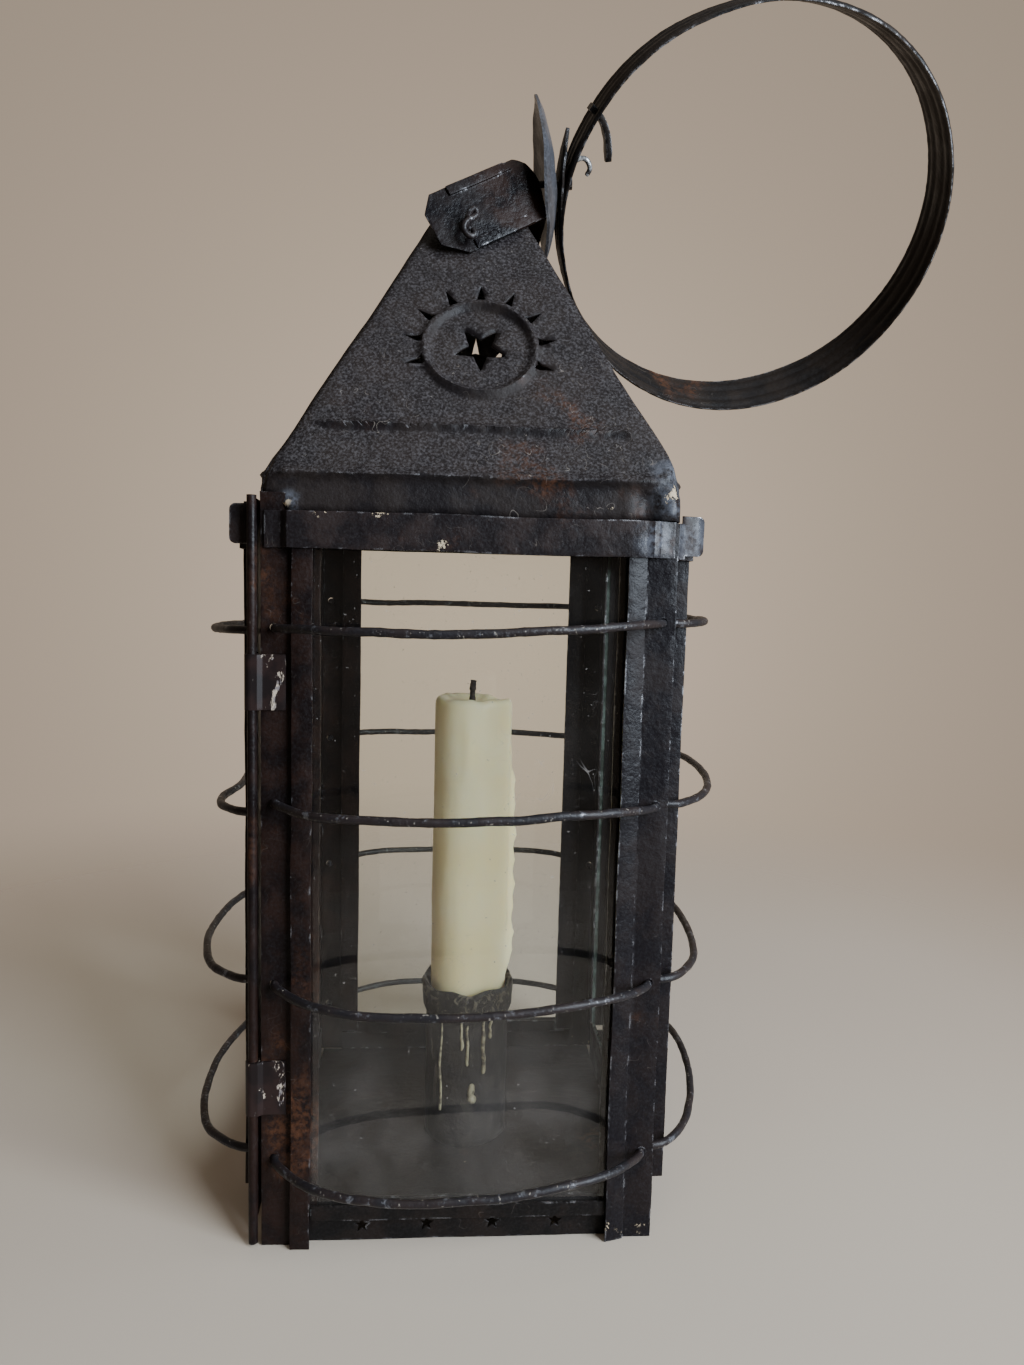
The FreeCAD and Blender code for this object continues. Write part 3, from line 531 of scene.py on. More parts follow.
# the roof's pale sheen colour and settled dust make its slopes lighter than its skirt, partly as painted
# light from above
ROOF_TIN = tin("tin_roof", dark=(0.0075, 0.006, 0.0065), brown=(0.013, 0.0095, 0.0085), dust=0.75,
               scratches=0.6, rough=0.46, dust_and_sheen=(0.072, 0.066, 0.068), grain=0.8, chips=0.15, wear=0.4,
               gloss=0.13, settled_dust_and_top_light=0.92, chipped=ROOF_CHIPS, polish_and_highlight=ROOF_POLISH_AND_HIGHLIGHT)
CAP_TIN = tin("tin_cap", dark=(0.0035, 0.003, 0.004), brown=(0.008, 0.0055, 0.0055), rust=0.1, dust=0.03,
              rough=0.32, gloss=0.10, rust_past=(CAP_ALONG, 0.146, 0.150))
DISC_TIN = tin("tin_disc", dark=(0.042, 0.043, 0.050), brown=(0.022, 0.021, 0.023), dust=0.4, rust=0.1,
               wear=0.3, rough=0.36, dust_and_sheen=(0.12, 0.125, 0.145), gloss=0.35)
RING_TIN = tin("tin_ring", dark=(0.007, 0.006, 0.006), brown=(0.014, 0.010, 0.008), rust=0.3, dust=0.12,
               wear=0.9, rough=0.46, gloss=0.14)
# the base's sheen colour and settled dust lighten its upward faces, partly as painted light from above
BASE_TIN = tin("tin_base", dark=(0.005, 0.0045, 0.0045), brown=(0.010, 0.007, 0.006), dust=0.35, wear=0.6,
               chips=0.5, gloss=0.12, settled_dust_and_top_light=0.7, grain=0.2, dust_and_sheen=(0.060, 0.055, 0.054))
STRAP_TIN = scraped_tin("tin_scraped")
GUARD = wire_metal("wire_guard")
BRIGHT = wire_metal("wire_bright", base=(0.05, 0.048, 0.046), light=(0.42, 0.42, 0.42), share=0.9, rough=0.28)
PIVOT = wire_metal("wire_pivot", base=(0.011, 0.010, 0.011), light=(0.22, 0.225, 0.24), share=0.5, rough=0.28)
PANE, WAX, WAXY = pane("glass_pane"), wax_material("wax_ivory"), waxy_tin("tin_waxy")
PANE_EDGE = mottled("glass_cut_edge", 300, (0.5, 0.4, 0.65), (0.022, 0.034, 0.028), (0.075, 0.10, 0.088),
                    0.18, (500, 3, 0.5, 0.0004))
CHAR = mottled("wick_char", 900, (0.5, 0.4, 0.65), (0.012, 0.009, 0.008), (0.06, 0.04, 0.035),
               0.9, (1500, 2, 0.8, 0.0002))
# old wax on the socket, yellowed and dirty
WAX_DRIP = mottled("wax_drip", 480, (0.6, 0.42, 0.62), (0.42, 0.37, 0.24), (0.13, 0.105, 0.075),
                   0.38, (600, 3, 0.5, 0.0004))


# ------------------------------------------------------------------ roof

TIP_Z, APEX_Z, EAVE_HALF, EAVE_Z = 284.0, 306.7, 53.3, 202.7
ROOF_T, ROOF_GRID, ROOF_LEAN = 0.6, 1.9, 1.1
ROOF_DENTS = (0.55, 0.16)
# half width and height of the skirt and the eave bead, from the low edge up
ROOF_PROFILE = [(53.2, 193.8), (53.1, 197.4), (52.7, 200.8), (52.9, 201.9), (53.5, 202.5), (53.9, 203.2),
                (53.5, 204.0), (52.7, 204.6), (51.8, 205.5)]
SKIRT_TOP, SLOPE_FOOT = 206.0, 207.2

# the rib and the star's middle up the slope, the ring, star and rays round that middle
RIB_S, BOSS_S, BOSS_R, STAR_R, STAR_WAIST = 15.5, 41.5, 14.9, 7.4, 0.43
RAY_R, RAY_COUNT, RAY_FIRST, RAY_TURN = 18.4, 9, -18, 27
RAY_SHAPE = ((-2.6, -1.5), (-2.2, 0.1), (-2.7, 1.5), (0.4, 0.6), (3.0, 0.0), (0.3, -0.7))
# pressed work as rows of height, offset and width, across the rib and out from the ring
RIB_BELLS = ((0.85, 0.0, 0.75), (-0.25, -1.9, 1.0))
RING_BELLS = ((1.15, 0.0, 1.15), (-0.35, -2.4, 1.2), (-0.25, 2.4, 1.2))
RIB_ENDS = (41.5, 38.5)
PIERCED_R, STAR_REACH, BURR, BURR_WIDTH = 24.0, 12.0, 0.42, 0.8
# rows of mesh points close to the rib, and rings of them close to the pressed ring
RIB_ROWS = (-2.6, -1.6, -0.9, -0.45, 0, 0.45, 0.9, 1.6)
RING_ROWS = (-3.6, -2.4, -1.4, -0.6, 0, 0.6, 1.4, 2.4)
RING_POINTS, CROWN_POINTS, LOW_EDGE_POINTS, ROW_GAP = 80, 10, 56, 0.28
ROW_JITTER = 0.12

# corners drawn in from the side edges, most at the eave bead, with rounded hems
CORNER_HALF, CORNER_FADE, CORNER_IN = 52.9, (8.0, 3.0), 0.5
HEM_WIDTH, HEM_IN, HEM_IN_EAVE = 3.4, 0.55, 0.75
# edges of the skirt tucked down behind the bands, and a notch in the front one at its left end
TUCK_FADE, NOTCH_FADE = (37.8, 36.8), (-46.0, -48.5)

# knocks of the front panel: depth, x, width, z, height
ROOF_KNOCKS = ((0.9, 46.5, 3.0, 207.5, 2.2), (-0.7, 48.6, 1.3, 206.0, 2.6), (0.9, 9.5, 4.5, 265.0, 4.0),
               (0.6, -8.0, 5.0, 272.0, 5.0), (0.7, -26.0, 9.0, 214.0, 5.0), (-0.4, 22.0, 10.0, 228.0, 7.0))
SKIRT_KNOCKS = ((0.8, 47.6, 2.6, 203.0, 1.5),)
# creases down its skirt: depth, x, width, and the heights where each starts and is full
SKIRT_CREASES = ((-1.1, 49.8, 1.9, 204.5, 200.0), (-0.5, 39.6, 1.0, 204.0, 201.5),
                 (-0.6, -45.2, 1.6, 201.0, 196.0))


def roof_half(z):
    """Half width of the plain slope at a height."""
    return EAVE_HALF * (APEX_Z - z) / (APEX_Z - EAVE_Z)


ROOF_PROFILE += [(roof_half(z), z) for z in (SLOPE_FOOT, TIP_Z)]
ROOF_T_AT = [0.0]
for (h0, z0), (h1, z1) in zip(ROOF_PROFILE, ROOF_PROFILE[1:]):
    ROOF_T_AT.append(ROOF_T_AT[-1] + hypot(h1 - h0, z1 - z0))
ROOF_END = ROOF_T_AT[-1]
SLOPE_T = ROOF_END - (TIP_Z - EAVE_Z) / sin(atan2(APEX_Z - EAVE_Z, EAVE_HALF))
BOSS_AT = V(0, SLOPE_T + BOSS_S)


def roof_at(t):
    """Half width, height and outward normal (out, up) at a distance t up the profile."""
    i = 0
    while i < len(ROOF_T_AT) - 2 and ROOF_T_AT[i + 1] < t:
        i += 1
    (h0, z0), (h1, z1) = ROOF_PROFILE[i], ROOF_PROFILE[i + 1]
    share = (t - ROOF_T_AT[i]) / (ROOF_T_AT[i + 1] - ROOF_T_AT[i])
    length = hypot(h1 - h0, z1 - z0)
    return h0 + (h1 - h0) * share, z0 + (z1 - z0) * share, ((z1 - z0) / length, (h0 - h1) / length)


def roof_levels():
    """Distances up the panel at which its mesh has a row of points."""
    rows = [round(k * ROOF_GRID, 3) for k in range(1, int(ROOF_END / ROOF_GRID))]
    levels = sorted(set(ROOF_T_AT + rows + [SLOPE_T + RIB_S + d for d in RIB_ROWS]))
    return [t for i, t in enumerate(levels) if i == 0 or t - levels[i - 1] > ROW_GAP]


def star_outline():
    """Five-pointed star about the middle of the pierced work, one tip down the slope."""
    out = []
    for i in range(10):
        r = STAR_R if i % 2 == 0 else STAR_R * STAR_WAIST
        angle = radians(-90 + 36 * i)
        out.append(V(r * cos(angle), r * sin(angle)))
    return out


def ray_outline(i):
    angle = radians(RAY_FIRST + RAY_TURN * i)
    along = V(cos(angle), sin(angle))
    across = V(-sin(angle), cos(angle))
    return [along * (RAY_R + a) + across * b for a, b in RAY_SHAPE]


LEVELS = roof_levels()
HOLES = [star_outline()] + [ray_outline(i) for i in range(RAY_COUNT)]


def split_outline(points, step):
    out = []
    for a, b in zip(points, points[1:] + points[:1]):
        count = max(1, round((b - a).length / step))
        out += [a.lerp(b, k / count) for k in range(count)]
    return out


def inside(point, outline):
    crossing = False
    for a, b in zip(outline, outline[1:] + outline[:1]):
        if (a.y > point.y) != (b.y > point.y) and \
                point.x < (b.x - a.x) * (point.y - a.y) / (b.y - a.y) + a.x:
            crossing = not crossing
    return crossing


def outline_distance(point, outline):
    best = 1e9
    for a, b in zip(outline, outline[1:] + outline[:1]):
        share = max(0, min(1, (point - a).dot(b - a) / (b - a).length_squared))
        best = min(best, (point - a.lerp(b, share)).length)
    return best


def clear_of_holes(point, gap):
    """True where the sheet is whole and every hole is further off than the gap."""
    return all(outline_distance(point, hole) > gap and not inside(point, hole) for hole in HOLES)


def roof_relief(x, t):
    """Height of the pressed work above the sheet."""
    s = t - SLOPE_T
    fade = step_in(abs(x), *RIB_ENDS)
    height = sum(tall * bell(s - RIB_S - at, width) * fade for tall, at, width in RIB_BELLS)
    r = hypot(x, s - BOSS_S)
    if r < PIERCED_R:
        height += sum(tall * bell(r - BOSS_R - at, width) for tall, at, width in RING_BELLS)
        near = min(outline_distance(V(x, s - BOSS_S), hole) for hole in HOLES)
        height += BURR * bell(near, BURR_WIDTH) * (1 if r > STAR_REACH else -0.8)
    return height


def knocked(x, z, knocks):
    return sum(deep * bell(x - at, wide) * bell(z - up, tall) for deep, at, wide, up, tall in knocks)


def front_dents(p):
    """Old knocks of the front roof panel, as an offset in mm."""
    depth = knocked(p.x, p.z, ROOF_KNOCKS)
    if p.z < SKIRT_TOP:
        pocket = step_in(abs(p.x - 44.4), 3.4, 2.2) * step_in(p.z, 192, 194.5) * step_in(p.z, 201.5, 199.5)
        pressed_end = step_in(p.x, -45, -50) * step_in(p.z, 199.5, 195)
        depth += 1.7 * pocket + 0.7 * pressed_end + knocked(p.x, p.z, SKIRT_KNOCKS)
        for deep, at, wide, start, full in SKIRT_CREASES:
            depth += deep * bell(p.x - at, wide) * step_in(p.z, start, full)
    return V(0, depth, 0)


def roof_boundary(low_edge):
    """Outline of the flat panel: up the left side, over the crown, down the right and back."""
    left = [V(-roof_at(t)[0], t) for t in LEVELS]
    right = [V(roof_at(t)[0], t) for t in reversed(LEVELS)]
    left[0].y = low_edge(left[0].x)
    left = [left[0]] + [p for p in left[1:] if p.y > left[0].y + 0.2]
    half_low, half_top = ROOF_PROFILE[0][0], roof_at(ROOF_END)[0]
    bottom = [half_low - 2 * half_low * k / LOW_EDGE_POINTS for k in range(1, LOW_EDGE_POINTS)]
    crown = [-half_top + 2 * half_top * k / CROWN_POINTS for k in range(1, CROWN_POINTS)]
    return (left + [V(x, ROOF_END) for x in crown] + right
            + [V(x, low_edge(x)) for x in bottom])


def roof_points(low_edge, rng):
    """Points within the flat panel: rings on the pressed ring, and rows everywhere else."""
    points = []
    for r in [BOSS_R + d for d in RING_ROWS]:
        for angle in turns(RING_POINTS, r):
            p = BOSS_AT + V(r * cos(angle), r * sin(angle))
            if clear_of_holes(p - BOSS_AT, 0.45):
                points.append(p)
    for t in LEVELS[1:-1]:
        half = roof_at(t)[0]
        row = int(2 * half / ROOF_GRID)
        for k in range(1, row):
            p = V(-half + 2 * half * (k + rng.uniform(-ROW_JITTER, ROW_JITTER)) / row, t)
            r = (p - BOSS_AT).length
            if BOSS_R - 4.4 < r < BOSS_R + 3.2 or t < low_edge(p.x) + 0.5:
                continue
            if r >= PIERCED_R or clear_of_holes(p - BOSS_AT, 0.7):
                points.append(p)
    return points


def roof_place(x, t):
    """Where a point of the flat panel lies on the front of the roof."""
    half, z, (out, up) = roof_at(t)
    height = roof_relief(x, t)
    corner = step_in(half - abs(x), *CORNER_FADE)
    drawn_in = min(half, CORNER_HALF, roof_half(z)) - CORNER_IN * bell(z - 203.6, 2.2)
    plain = half + (drawn_in - half) * corner
    hem = max(0.0, 1 - (half - abs(x)) / HEM_WIDTH)
    rounding = HEM_IN + HEM_IN_EAVE * bell(z - 203.4, 3.5)
    p = V(x * plain / half, -plain - out * height, z + up * height)
    return p + V(-copysign(1, x), 1, 0) * rounding * hem ** 2


def roof_panel(side, turn, seed, extra=None, notch=0.0, tuck=0.4):
    """One pressed roof panel, skirt to tip, pierced with the star and rays."""
    def low_edge(x):
        return notch * step_in(x, *NOTCH_FADE) - tuck * step_in(abs(x), *TUCK_FADE)

    boundary = roof_boundary(low_edge)
    points, edges = [], []
    for outline in [boundary] + [[p + BOSS_AT for p in split_outline(hole, 0.8)] for hole in HOLES]:
        first, count = len(points), len(outline)
        points += outline
        edges += [(first + i, first + (i + 1) % count) for i in range(count)]
    points += roof_points(low_edge, random.Random(seed))
    flat, _, faces, _, _, _ = delaunay_2d_cdt(points, edges, [], 0, 1e-4)
    bm = bmesh.new()
    placed = []
    for v in flat:
        p = Matrix.Rotation(radians(turn), 3, "Z") @ roof_place(v.x, v.y)
        p.x += ROOF_LEAN * step_in(p.z, 203.0, 212.0)
        if extra:
            p += extra(p)
        placed.append(bm.verts.new(p + dent(p, *ROOF_DENTS)))
    for face in faces:
        mid = sum((Vector(flat[i]) for i in face), V(0, 0)) / len(face)
        if inside(mid, boundary) and not any(inside(mid - BOSS_AT, hole) for hole in HOLES):
            bm.faces.new([placed[i] for i in face])
    bmesh.ops.delete(bm, geom=[v for v in bm.verts if not v.link_faces], context="VERTS")
    bmesh.ops.recalc_face_normals(bm, faces=bm.faces)
    middle = V(0, 0, 200)
    if sum(f.normal.dot(f.calc_center_median() - middle) * f.calc_area() for f in bm.faces) < 0:
        bmesh.ops.reverse_faces(bm, faces=bm.faces)
    node = "roof_" + side
    obj = finish_piece(node + "_pressed", bm, "lantern_body", [ROOF_TIN], [node], smooth=50)
    solid = obj.modifiers.new("thickness", "SOLIDIFY")
    solid.thickness = ROOF_T * MM
    solid.offset = -1


roof_panel("front", 0, 1, front_dents, notch=3.6)
roof_panel("right", 90, 2)
roof_panel("rear", 180, 3)
roof_panel("left", 270, 4, tuck=1.3)


# ------------------------------------------------------------------ sheet pieces

# strip of the right front post, turned outwards from its inner edge
STRIP_IN, STRIP_OUT, STRIP_FACE, STRIP_TURN = 39.5, 44.8, -53.2, 0.27
# hole of the uppermost wire in that post, which moves with the wire
WIRE_HOLE, HOLE_FADE = V(52.5, -52.5, 164.8), (17.0, 7.0)
BAND_STEP = 2.0
# the cap's long direction in its own plane
CAP_ALONG_X, CAP_ALONG_Z = CAP_ALONG[0], CAP_ALONG[2]


def right_post_bends(p):
    """Front strip turned a little to the right, and the top end pressed back under the roof."""
    shift = V(0, 0, 0)
    if p.y < STRIP_FACE and p.x < STRIP_OUT:
        shift.y += STRIP_TURN * (p.x - STRIP_IN)
    if p.y < -51 and p.x > 43:
        shift.y += 1.3 * step_in(p.z, 190.5, 193.5)
    shift.z += WIRE_LIFT[0][0] * step_in((p - WIRE_HOLE).length, *HOLE_FADE)
    return shift


def left_post_bends(p):
    """Top end raised and lapped over the skirt of the roof."""
    if p.y < -51.5 and p.x < -45:
        return V(0, -0.9 * step_in(p.z, 192, 195), 2.2 * step_in(p.z, 190, 196))
    return V(0, 0, 0)


def band_bends(p):
    """Right end of the front band curved back onto the post."""
    before = BAND_STEP * max(0.0, min(1.0, (p.x - 45.6) / 1.8))
    after = (BAND_STEP + 0.5) * step_in(p.x, 42.0, 52.0)
    return V(0, after - before if p.x > 41 else 0, 0)


def tab_bends(p):
    """Front tab of the right band turned towards the right."""
    return V(0, 0.32 * max(0.0, p.x - 54.2) if p.y < -49 else 0, 0)


def cap_bends(p):
    """Free end of the front leg drawn out towards the disc, its upper corner rounded off."""
    from_pivot = p - CAP_AT
    along = from_pivot.x * CAP_ALONG_X + from_pivot.z * CAP_ALONG_Z
    across = from_pivot.z * CAP_ALONG_X - from_pivot.x * CAP_ALONG_Z
    reach = 2.6 * bell(across - 4.5, 7.0) - 1.4 * step_in(across, 9.5, 12.4)
    return Vector(CAP_ALONG) * reach * step_in(along, 12.0, 22.0)


def stile_bends(p):
    """Top edge of the hinge stile raised to close the gap beside the post."""
    return V(0, 0, 3.2 if 192.6 < p.z < 194 and p.y > -52.2 else 0)


BENDS = {"post_front_right": right_post_bends, "post_front_left": left_post_bends, "band_front": band_bends,
         "band_right": tab_bends, "door_hinge_stile": stile_bends, "cap_strap": cap_bends}
# node, material, distance between the slices that let it bend
BODY_SHEETS = (("base_pan", BASE_TIN, 5.0), ("post_front_left", LEFT_SHADED_TIN, 4.0),
               ("post_front_right", RIGHT_LIT_TIN, 4.0), ("post_rear_right", RIGHT_LIT_TIN, 5.0),
               ("post_rear_left", LEFT_SHADED_TIN, 5.0), ("sill_front", BASE_TIN, 4.0), ("sill_rear", BASE_TIN, 5.0),
               ("sill_right", BASE_TIN, 5.0), ("band_front", BAND_TIN, 2.5), ("band_rear", BAND_TIN, 4.0),
               ("band_right", BAND_TIN, 3.0))
DOOR_SHEETS = (("door_hinge_stile", LEFT_SHADED_TIN), ("door_latch_stile", LEFT_SHADED_TIN), ("door_top_rail", BAND_TIN),
               ("door_bottom_rail", LEFT_SHADED_TIN))
for node, material, step in BODY_SHEETS:
    worn_copy(node, "lantern_body", material, step)
for node in ("hinge_strap_upper", "hinge_strap_lower"):
    worn_copy(node, "lantern_body", STRAP_TIN, 2.0, bevel=0.1)
for node, material in DOOR_SHEETS:
    worn_copy(node, "door", material)
worn_copy("hasp", "hasp", LEFT_SHADED_TIN, 2.0)
worn_copy("cap_strap", "cap", CAP_TIN, 1.2, bevel=0.12)


# ------------------------------------------------------------------ glass

GLASS_STEP, GLASS_EASE, GLASS_WOBBLE = 3.0, 0.25, 0.35


def glass_piece(node, body, seed):
    """Pane with hand-cut, slightly wavy edges, in the plane of its CAD box."""
    low, high = [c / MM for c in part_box(node)]
    size = high - low
    thin = 1 if size.y < size.x else 0
    wide = 1 - thin
    outline = []
    corners = [(low[wide], low.z), (high[wide], low.z), (high[wide], high.z), (low[wide], high.z)]
    for (a0, b0), (a1, b1) in zip(corners, corners[1:] + corners[:1]):
        count = max(2, round(hypot(a1 - a0, b1 - b0) / GLASS_STEP))
        outline += [(a0 + (a1 - a0) * k / count, b0 + (b1 - b0) * k / count) for k in range(count)]
    middle = ((low[wide] + high[wide]) / 2, (low.z + high.z) / 2)

    def drawn_in(value, axis, pull):
        """Moves a value on the outline towards the middle, and leaves one between the edges."""
        away = value - middle[axis]
        at_edge = abs(away) > abs(corners[0][axis] - middle[axis]) - 0.01
        return value - copysign(pull, away) * at_edge

    bm = bmesh.new()
    layers = []
    ease, thick = GLASS_EASE, size[thin]
    for depth, inset in ((0, ease), (ease, 0), (thick - ease, 0), (thick, ease)):
        ring = []
        for a, b in outline:
            pull = inset + GLASS_WOBBLE * (0.5 + 0.5 * uneven(a / 9, b / 9, seed))
            co = V(0, 0, drawn_in(b, 1, pull))
            co[wide], co[thin] = drawn_in(a, 0, pull), low[thin] + depth
            ring.append(bm.verts.new(co))
        layers.append(ring)
    for face in skin(bm, layers):
        face.material_index = 1
    bmesh.ops.recalc_face_normals(bm, faces=bm.faces)
    finish_piece(node + "_cut", bm, body, [PANE, PANE_EDGE], [node], smooth=20)


glass_piece("glass_front", "lantern_body", 1)
glass_piece("glass_rear", "lantern_body", 2)
glass_piece("glass_right", "lantern_body", 3)
glass_piece("door_glass", "door", 4)


# ------------------------------------------------------------------ wires

# a wire goes through the posts at ENTRY, leaves them at the exits and bows out past its shoulders
ENTRY, WIRE_TAIL, FACE_FROM = 49.2, 50.2, 50.5
FACE_EXIT, SIDE_EXIT = 54.6, 57.4
SHOULDER, SHOULDER_BACK, MIDDLE_OUT = 34.0, 3.0, 0.8
SIDE_SHOULDER, SIDE_MIDDLE_OUT = 68.0, 0.3
# for each wire: rise from front to rear, and how much further it bows out on the right
REAR_RISE = (6.2, 0.2, 0.4, -6.7)
WIRE_OUT = (-1.6, 2.0, 0.0, 1.0)
# points (x, y) of the door's wires, between the ends that go through its stiles
DOOR_WIRE_END = ((-52.6, -45.9), (-60.8, -45.9))
DOOR_BOWS = (
    ((-68.0, -33.0), (-71.5, -24.0), (-69.5, 2.0), (-67.5, 30.0)),
    ((-69.8, -30.5), (-66.0, -12.0), (-70.0, 12.0), (-67.0, 31.0)),
    ((-73.0, -33.0), (-78.0, 0.0), (-72.5, 33.0)),
    ((-74.0, -34.0), (-79.0, 0.0), (-72.5, 34.0)),
)


def wire_lift(x, y, corner, front, right):
    """Height of a hand-bent wire above its plane."""
    if y < -FACE_FROM:
        return front * bell(x - 27.0, 19.0) * step_in(x, 50.0, 38.0) + corner * step_in(x, 12.0, ENTRY)
    if x > ENTRY - 1 and abs(y) < FACE_FROM:
        return corner * step_in(y, -5.0, -45.0) + right * bell(y - 6.0, 32.0) * step_in(abs(y), 49.0, 30.0)
    return 0.0


def guard_wire(number, rise, out, lift):
    """One wire bowed round the front, right and rear, its tails behind the left posts."""
    node = "guard_wire_%d" % number
    low, high = [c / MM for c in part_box(node)]
    z = (low.z + high.z) / 2
    deep, wide = high.y - WIRE_R, high.x - WIRE_R
    half = [(ENTRY, FACE_EXIT), (SHOULDER, deep - SHOULDER_BACK), (0.0, deep + MIDDLE_OUT)]
    front = [(-x, -y) for x, y in half] + [(x, -y) for x, y in half[1::-1]]
    back = [(-x, -y) for x, y in front]
    shoulder = SIDE_SHOULDER + out
    side = [(ENTRY, -ENTRY), (SIDE_EXIT, -ENTRY), (shoulder, -SHOULDER), (wide + SIDE_MIDDLE_OUT + out, 0.0),
            (shoulder, SHOULDER), (SIDE_EXIT, ENTRY), (ENTRY, ENTRY)]
    outline = [(-ENTRY, -WIRE_TAIL)] + front + side + back + [(-ENTRY, WIRE_TAIL)]
    stations = [V(x, y, z + rise * max(-ENTRY, min(ENTRY, y)) / ENTRY / 2 + wire_lift(x, y, *lift))
                for x, y in outline]
    tube_piece(node + "_bent", wire_path(stations, 0.42, number * 1.7), WIRE_R, "lantern_body",
               GUARD, [node])


def door_wire(number, bow):
    node = "door_wire_%d" % number
    low, high = [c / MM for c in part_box(node)]
    outline = DOOR_WIRE_END + bow + tuple((x, -y) for x, y in DOOR_WIRE_END[::-1])
    stations = [V(x, y, (low.z + high.z) / 2) for x, y in outline]
    tube_piece(node + "_bent", wire_path(stations, 0.4, number * 2.3, step=1.2), WIRE_R, "door",
               GUARD, [node])


for number in range(1, 5):
    guard_wire(number, REAR_RISE[number - 1], WIRE_OUT[number - 1], WIRE_LIFT[number - 1])
for number, bow in enumerate(DOOR_BOWS, 1):
    door_wire(number, bow)


# ------------------------------------------------------------------ candle and socket

CANDLE_LOW, CANDLE_HIGH = [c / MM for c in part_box("candle")]
CANDLE_C = (CANDLE_LOW + CANDLE_HIGH) / 2
CANDLE_R = (CANDLE_HIGH.x - CANDLE_LOW.x) / 2
CANDLE_TOP = CANDLE_HIGH.z
CANDLE_WIDEST, CANDLE_IN_SOCKET, SOCKET_BORE = 14.6, 12.2, 12.4
SOCKET_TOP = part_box("candle_socket")[1].z / MM
# melted top as rows of distance in from the side and down from the top, then the well round the wick
CANDLE_RIM = ((0.0, 3.4), (0.1, 2.2), (0.6, 1.1), (1.5, 0.7), (2.6, 1.1), (4.2, 1.9), (6.5, 2.6))
CANDLE_WELL = ((3.0, 3.0), (1.6, 2.9), (0.9, 2.2))
# points of the wick from its own foot: right, towards the rear, up from the top of the candle
WICK_X, WICK_R = -0.4, 0.98
WICK = ((0, 0, -6), (0, 0.1, 0.4), (0.1, 0, 2.8), (0.3, -0.1, 4.2))
# runs of wax: direction, bottom, top, width in degrees, thickness
WAX_RUNS = ((2, 54, 118, 12, 1.2), (0, 60, 128, 10, 0.5), (-24, 70, 140, 8, 0.35), (200, 96, 139, 9, 0.4),
            (118, 84, 138, 10, 0.6), (262, 118, 140, 8, 0.3))
# beads on the runs: direction, height, size
WAX_BEADS = ((4, 117, 0.9), (6, 108, 0.7), (3, 99, 1.0), (5, 90, 0.8), (2, 82, 1.1), (6, 74, 0.8),
             (4, 66, 1.1), (3, 60, 0.8), (-22, 72, 0.6), (119, 86, 0.8))
# drips of wax down the socket: direction, top, bottom, size
DRIPS = ((-68, 43, 25, 0.6), (-84, 22, 16, 1.15), (-98, 43, 33, 0.4), (-90, 41, 28, 0.45),
         (-128, 43, 12, 0.35), (-58, 43, 36, 0.45), (40, 43, 20, 0.6), (150, 43, 24, 0.6))
DRIP_POINTS, DRIP_OUT = 9, 13.35
# socket: radius and height of its foot and inside, radius and distance below the top of its collar
SOCKET_FOOT = ((1.0, 0.72), (12.9, 0.72), (13.2, 1.2))
SOCKET_COLLAR = ((13.3, 10.9), (13.9, 10.3), (14.3, 9.1), (14.2, 7.5), (14.3, 5.5), (14.5, 3.5), (14.6, 2.1),
                 (14.5, 1.1), (14.0, 0.5), (13.3, 0.9), (12.9, 2.1), (12.7, 3.5), (12.5, 6.5), (12.5, 18))
SOCKET_INSIDE = ((12.45, 12), (12.4, 2.2), (1.0, 1.6))


def lathe_piece(name, node, profile, sides, warp, body, material):
    """Turns a profile of (radius, z) about the candle's axis; warp gives (radius, z) at an angle."""
    bm = bmesh.new()
    rings = []
    for r, z in profile:
        warped = [(angle, *warp(r, z, angle)) for angle in turns(sides)]
        rings.append([bm.verts.new((CANDLE_C.x + r2 * cos(angle), CANDLE_C.y + r2 * sin(angle), z2))
                      for angle, r2, z2 in warped])
    skin(bm, rings)
    finish_piece(name, bm, body, [material], [node])


def degrees_off(angle, at):
    """Difference in degrees, within half a turn, of an angle in radians from a direction in degrees."""
    return (degrees(angle) - at + 180) % 360 - 180


def candle_warp(r, z, angle):
    """Uneven side with runs and beads of wax, and a top that has slumped on the right."""
    p = V(cos(angle), sin(angle), 0)
    shrink = min(1.0, r / 6)
    r2 = r + (uneven(p.x * 1.3, p.y * 1.3, z / 34) * 0.28 + uneven(p.x * 4, p.y * 4, z / 9) * 0.08) * shrink
    for at, low, high, width, thick in WAX_RUNS:
        share = bell(degrees_off(angle, at), width)
        share *= step_in(z, low - 2, low + 2) * step_in(z, high + 1.5, high - 4)
        r2 += thick * share * shrink * (1 + 0.35 * uneven(at, 0, z / 5))
    for at, height, size in WAX_BEADS:
        off = degrees_off(angle, at) * CANDLE_R * pi / 180
        r2 += size * 1.1 * bell(off, 1.8) * bell(z - height, 2.2) * shrink
    r2 = min(r2, CANDLE_WIDEST if z >= SOCKET_TOP else CANDLE_IN_SOCKET)
    wave = 0.9 * uneven(p.x * 1.7, p.y * 1.7, 4.2) + 0.4 * uneven(p.x * 4, p.y * 4, 8.1)
    slump = -1.3 * max(0, cos(angle - radians(25))) ** 2
    return r2, z + step_in(z, 128, 142) * (wave + slump) * min(1.0, r / 7)


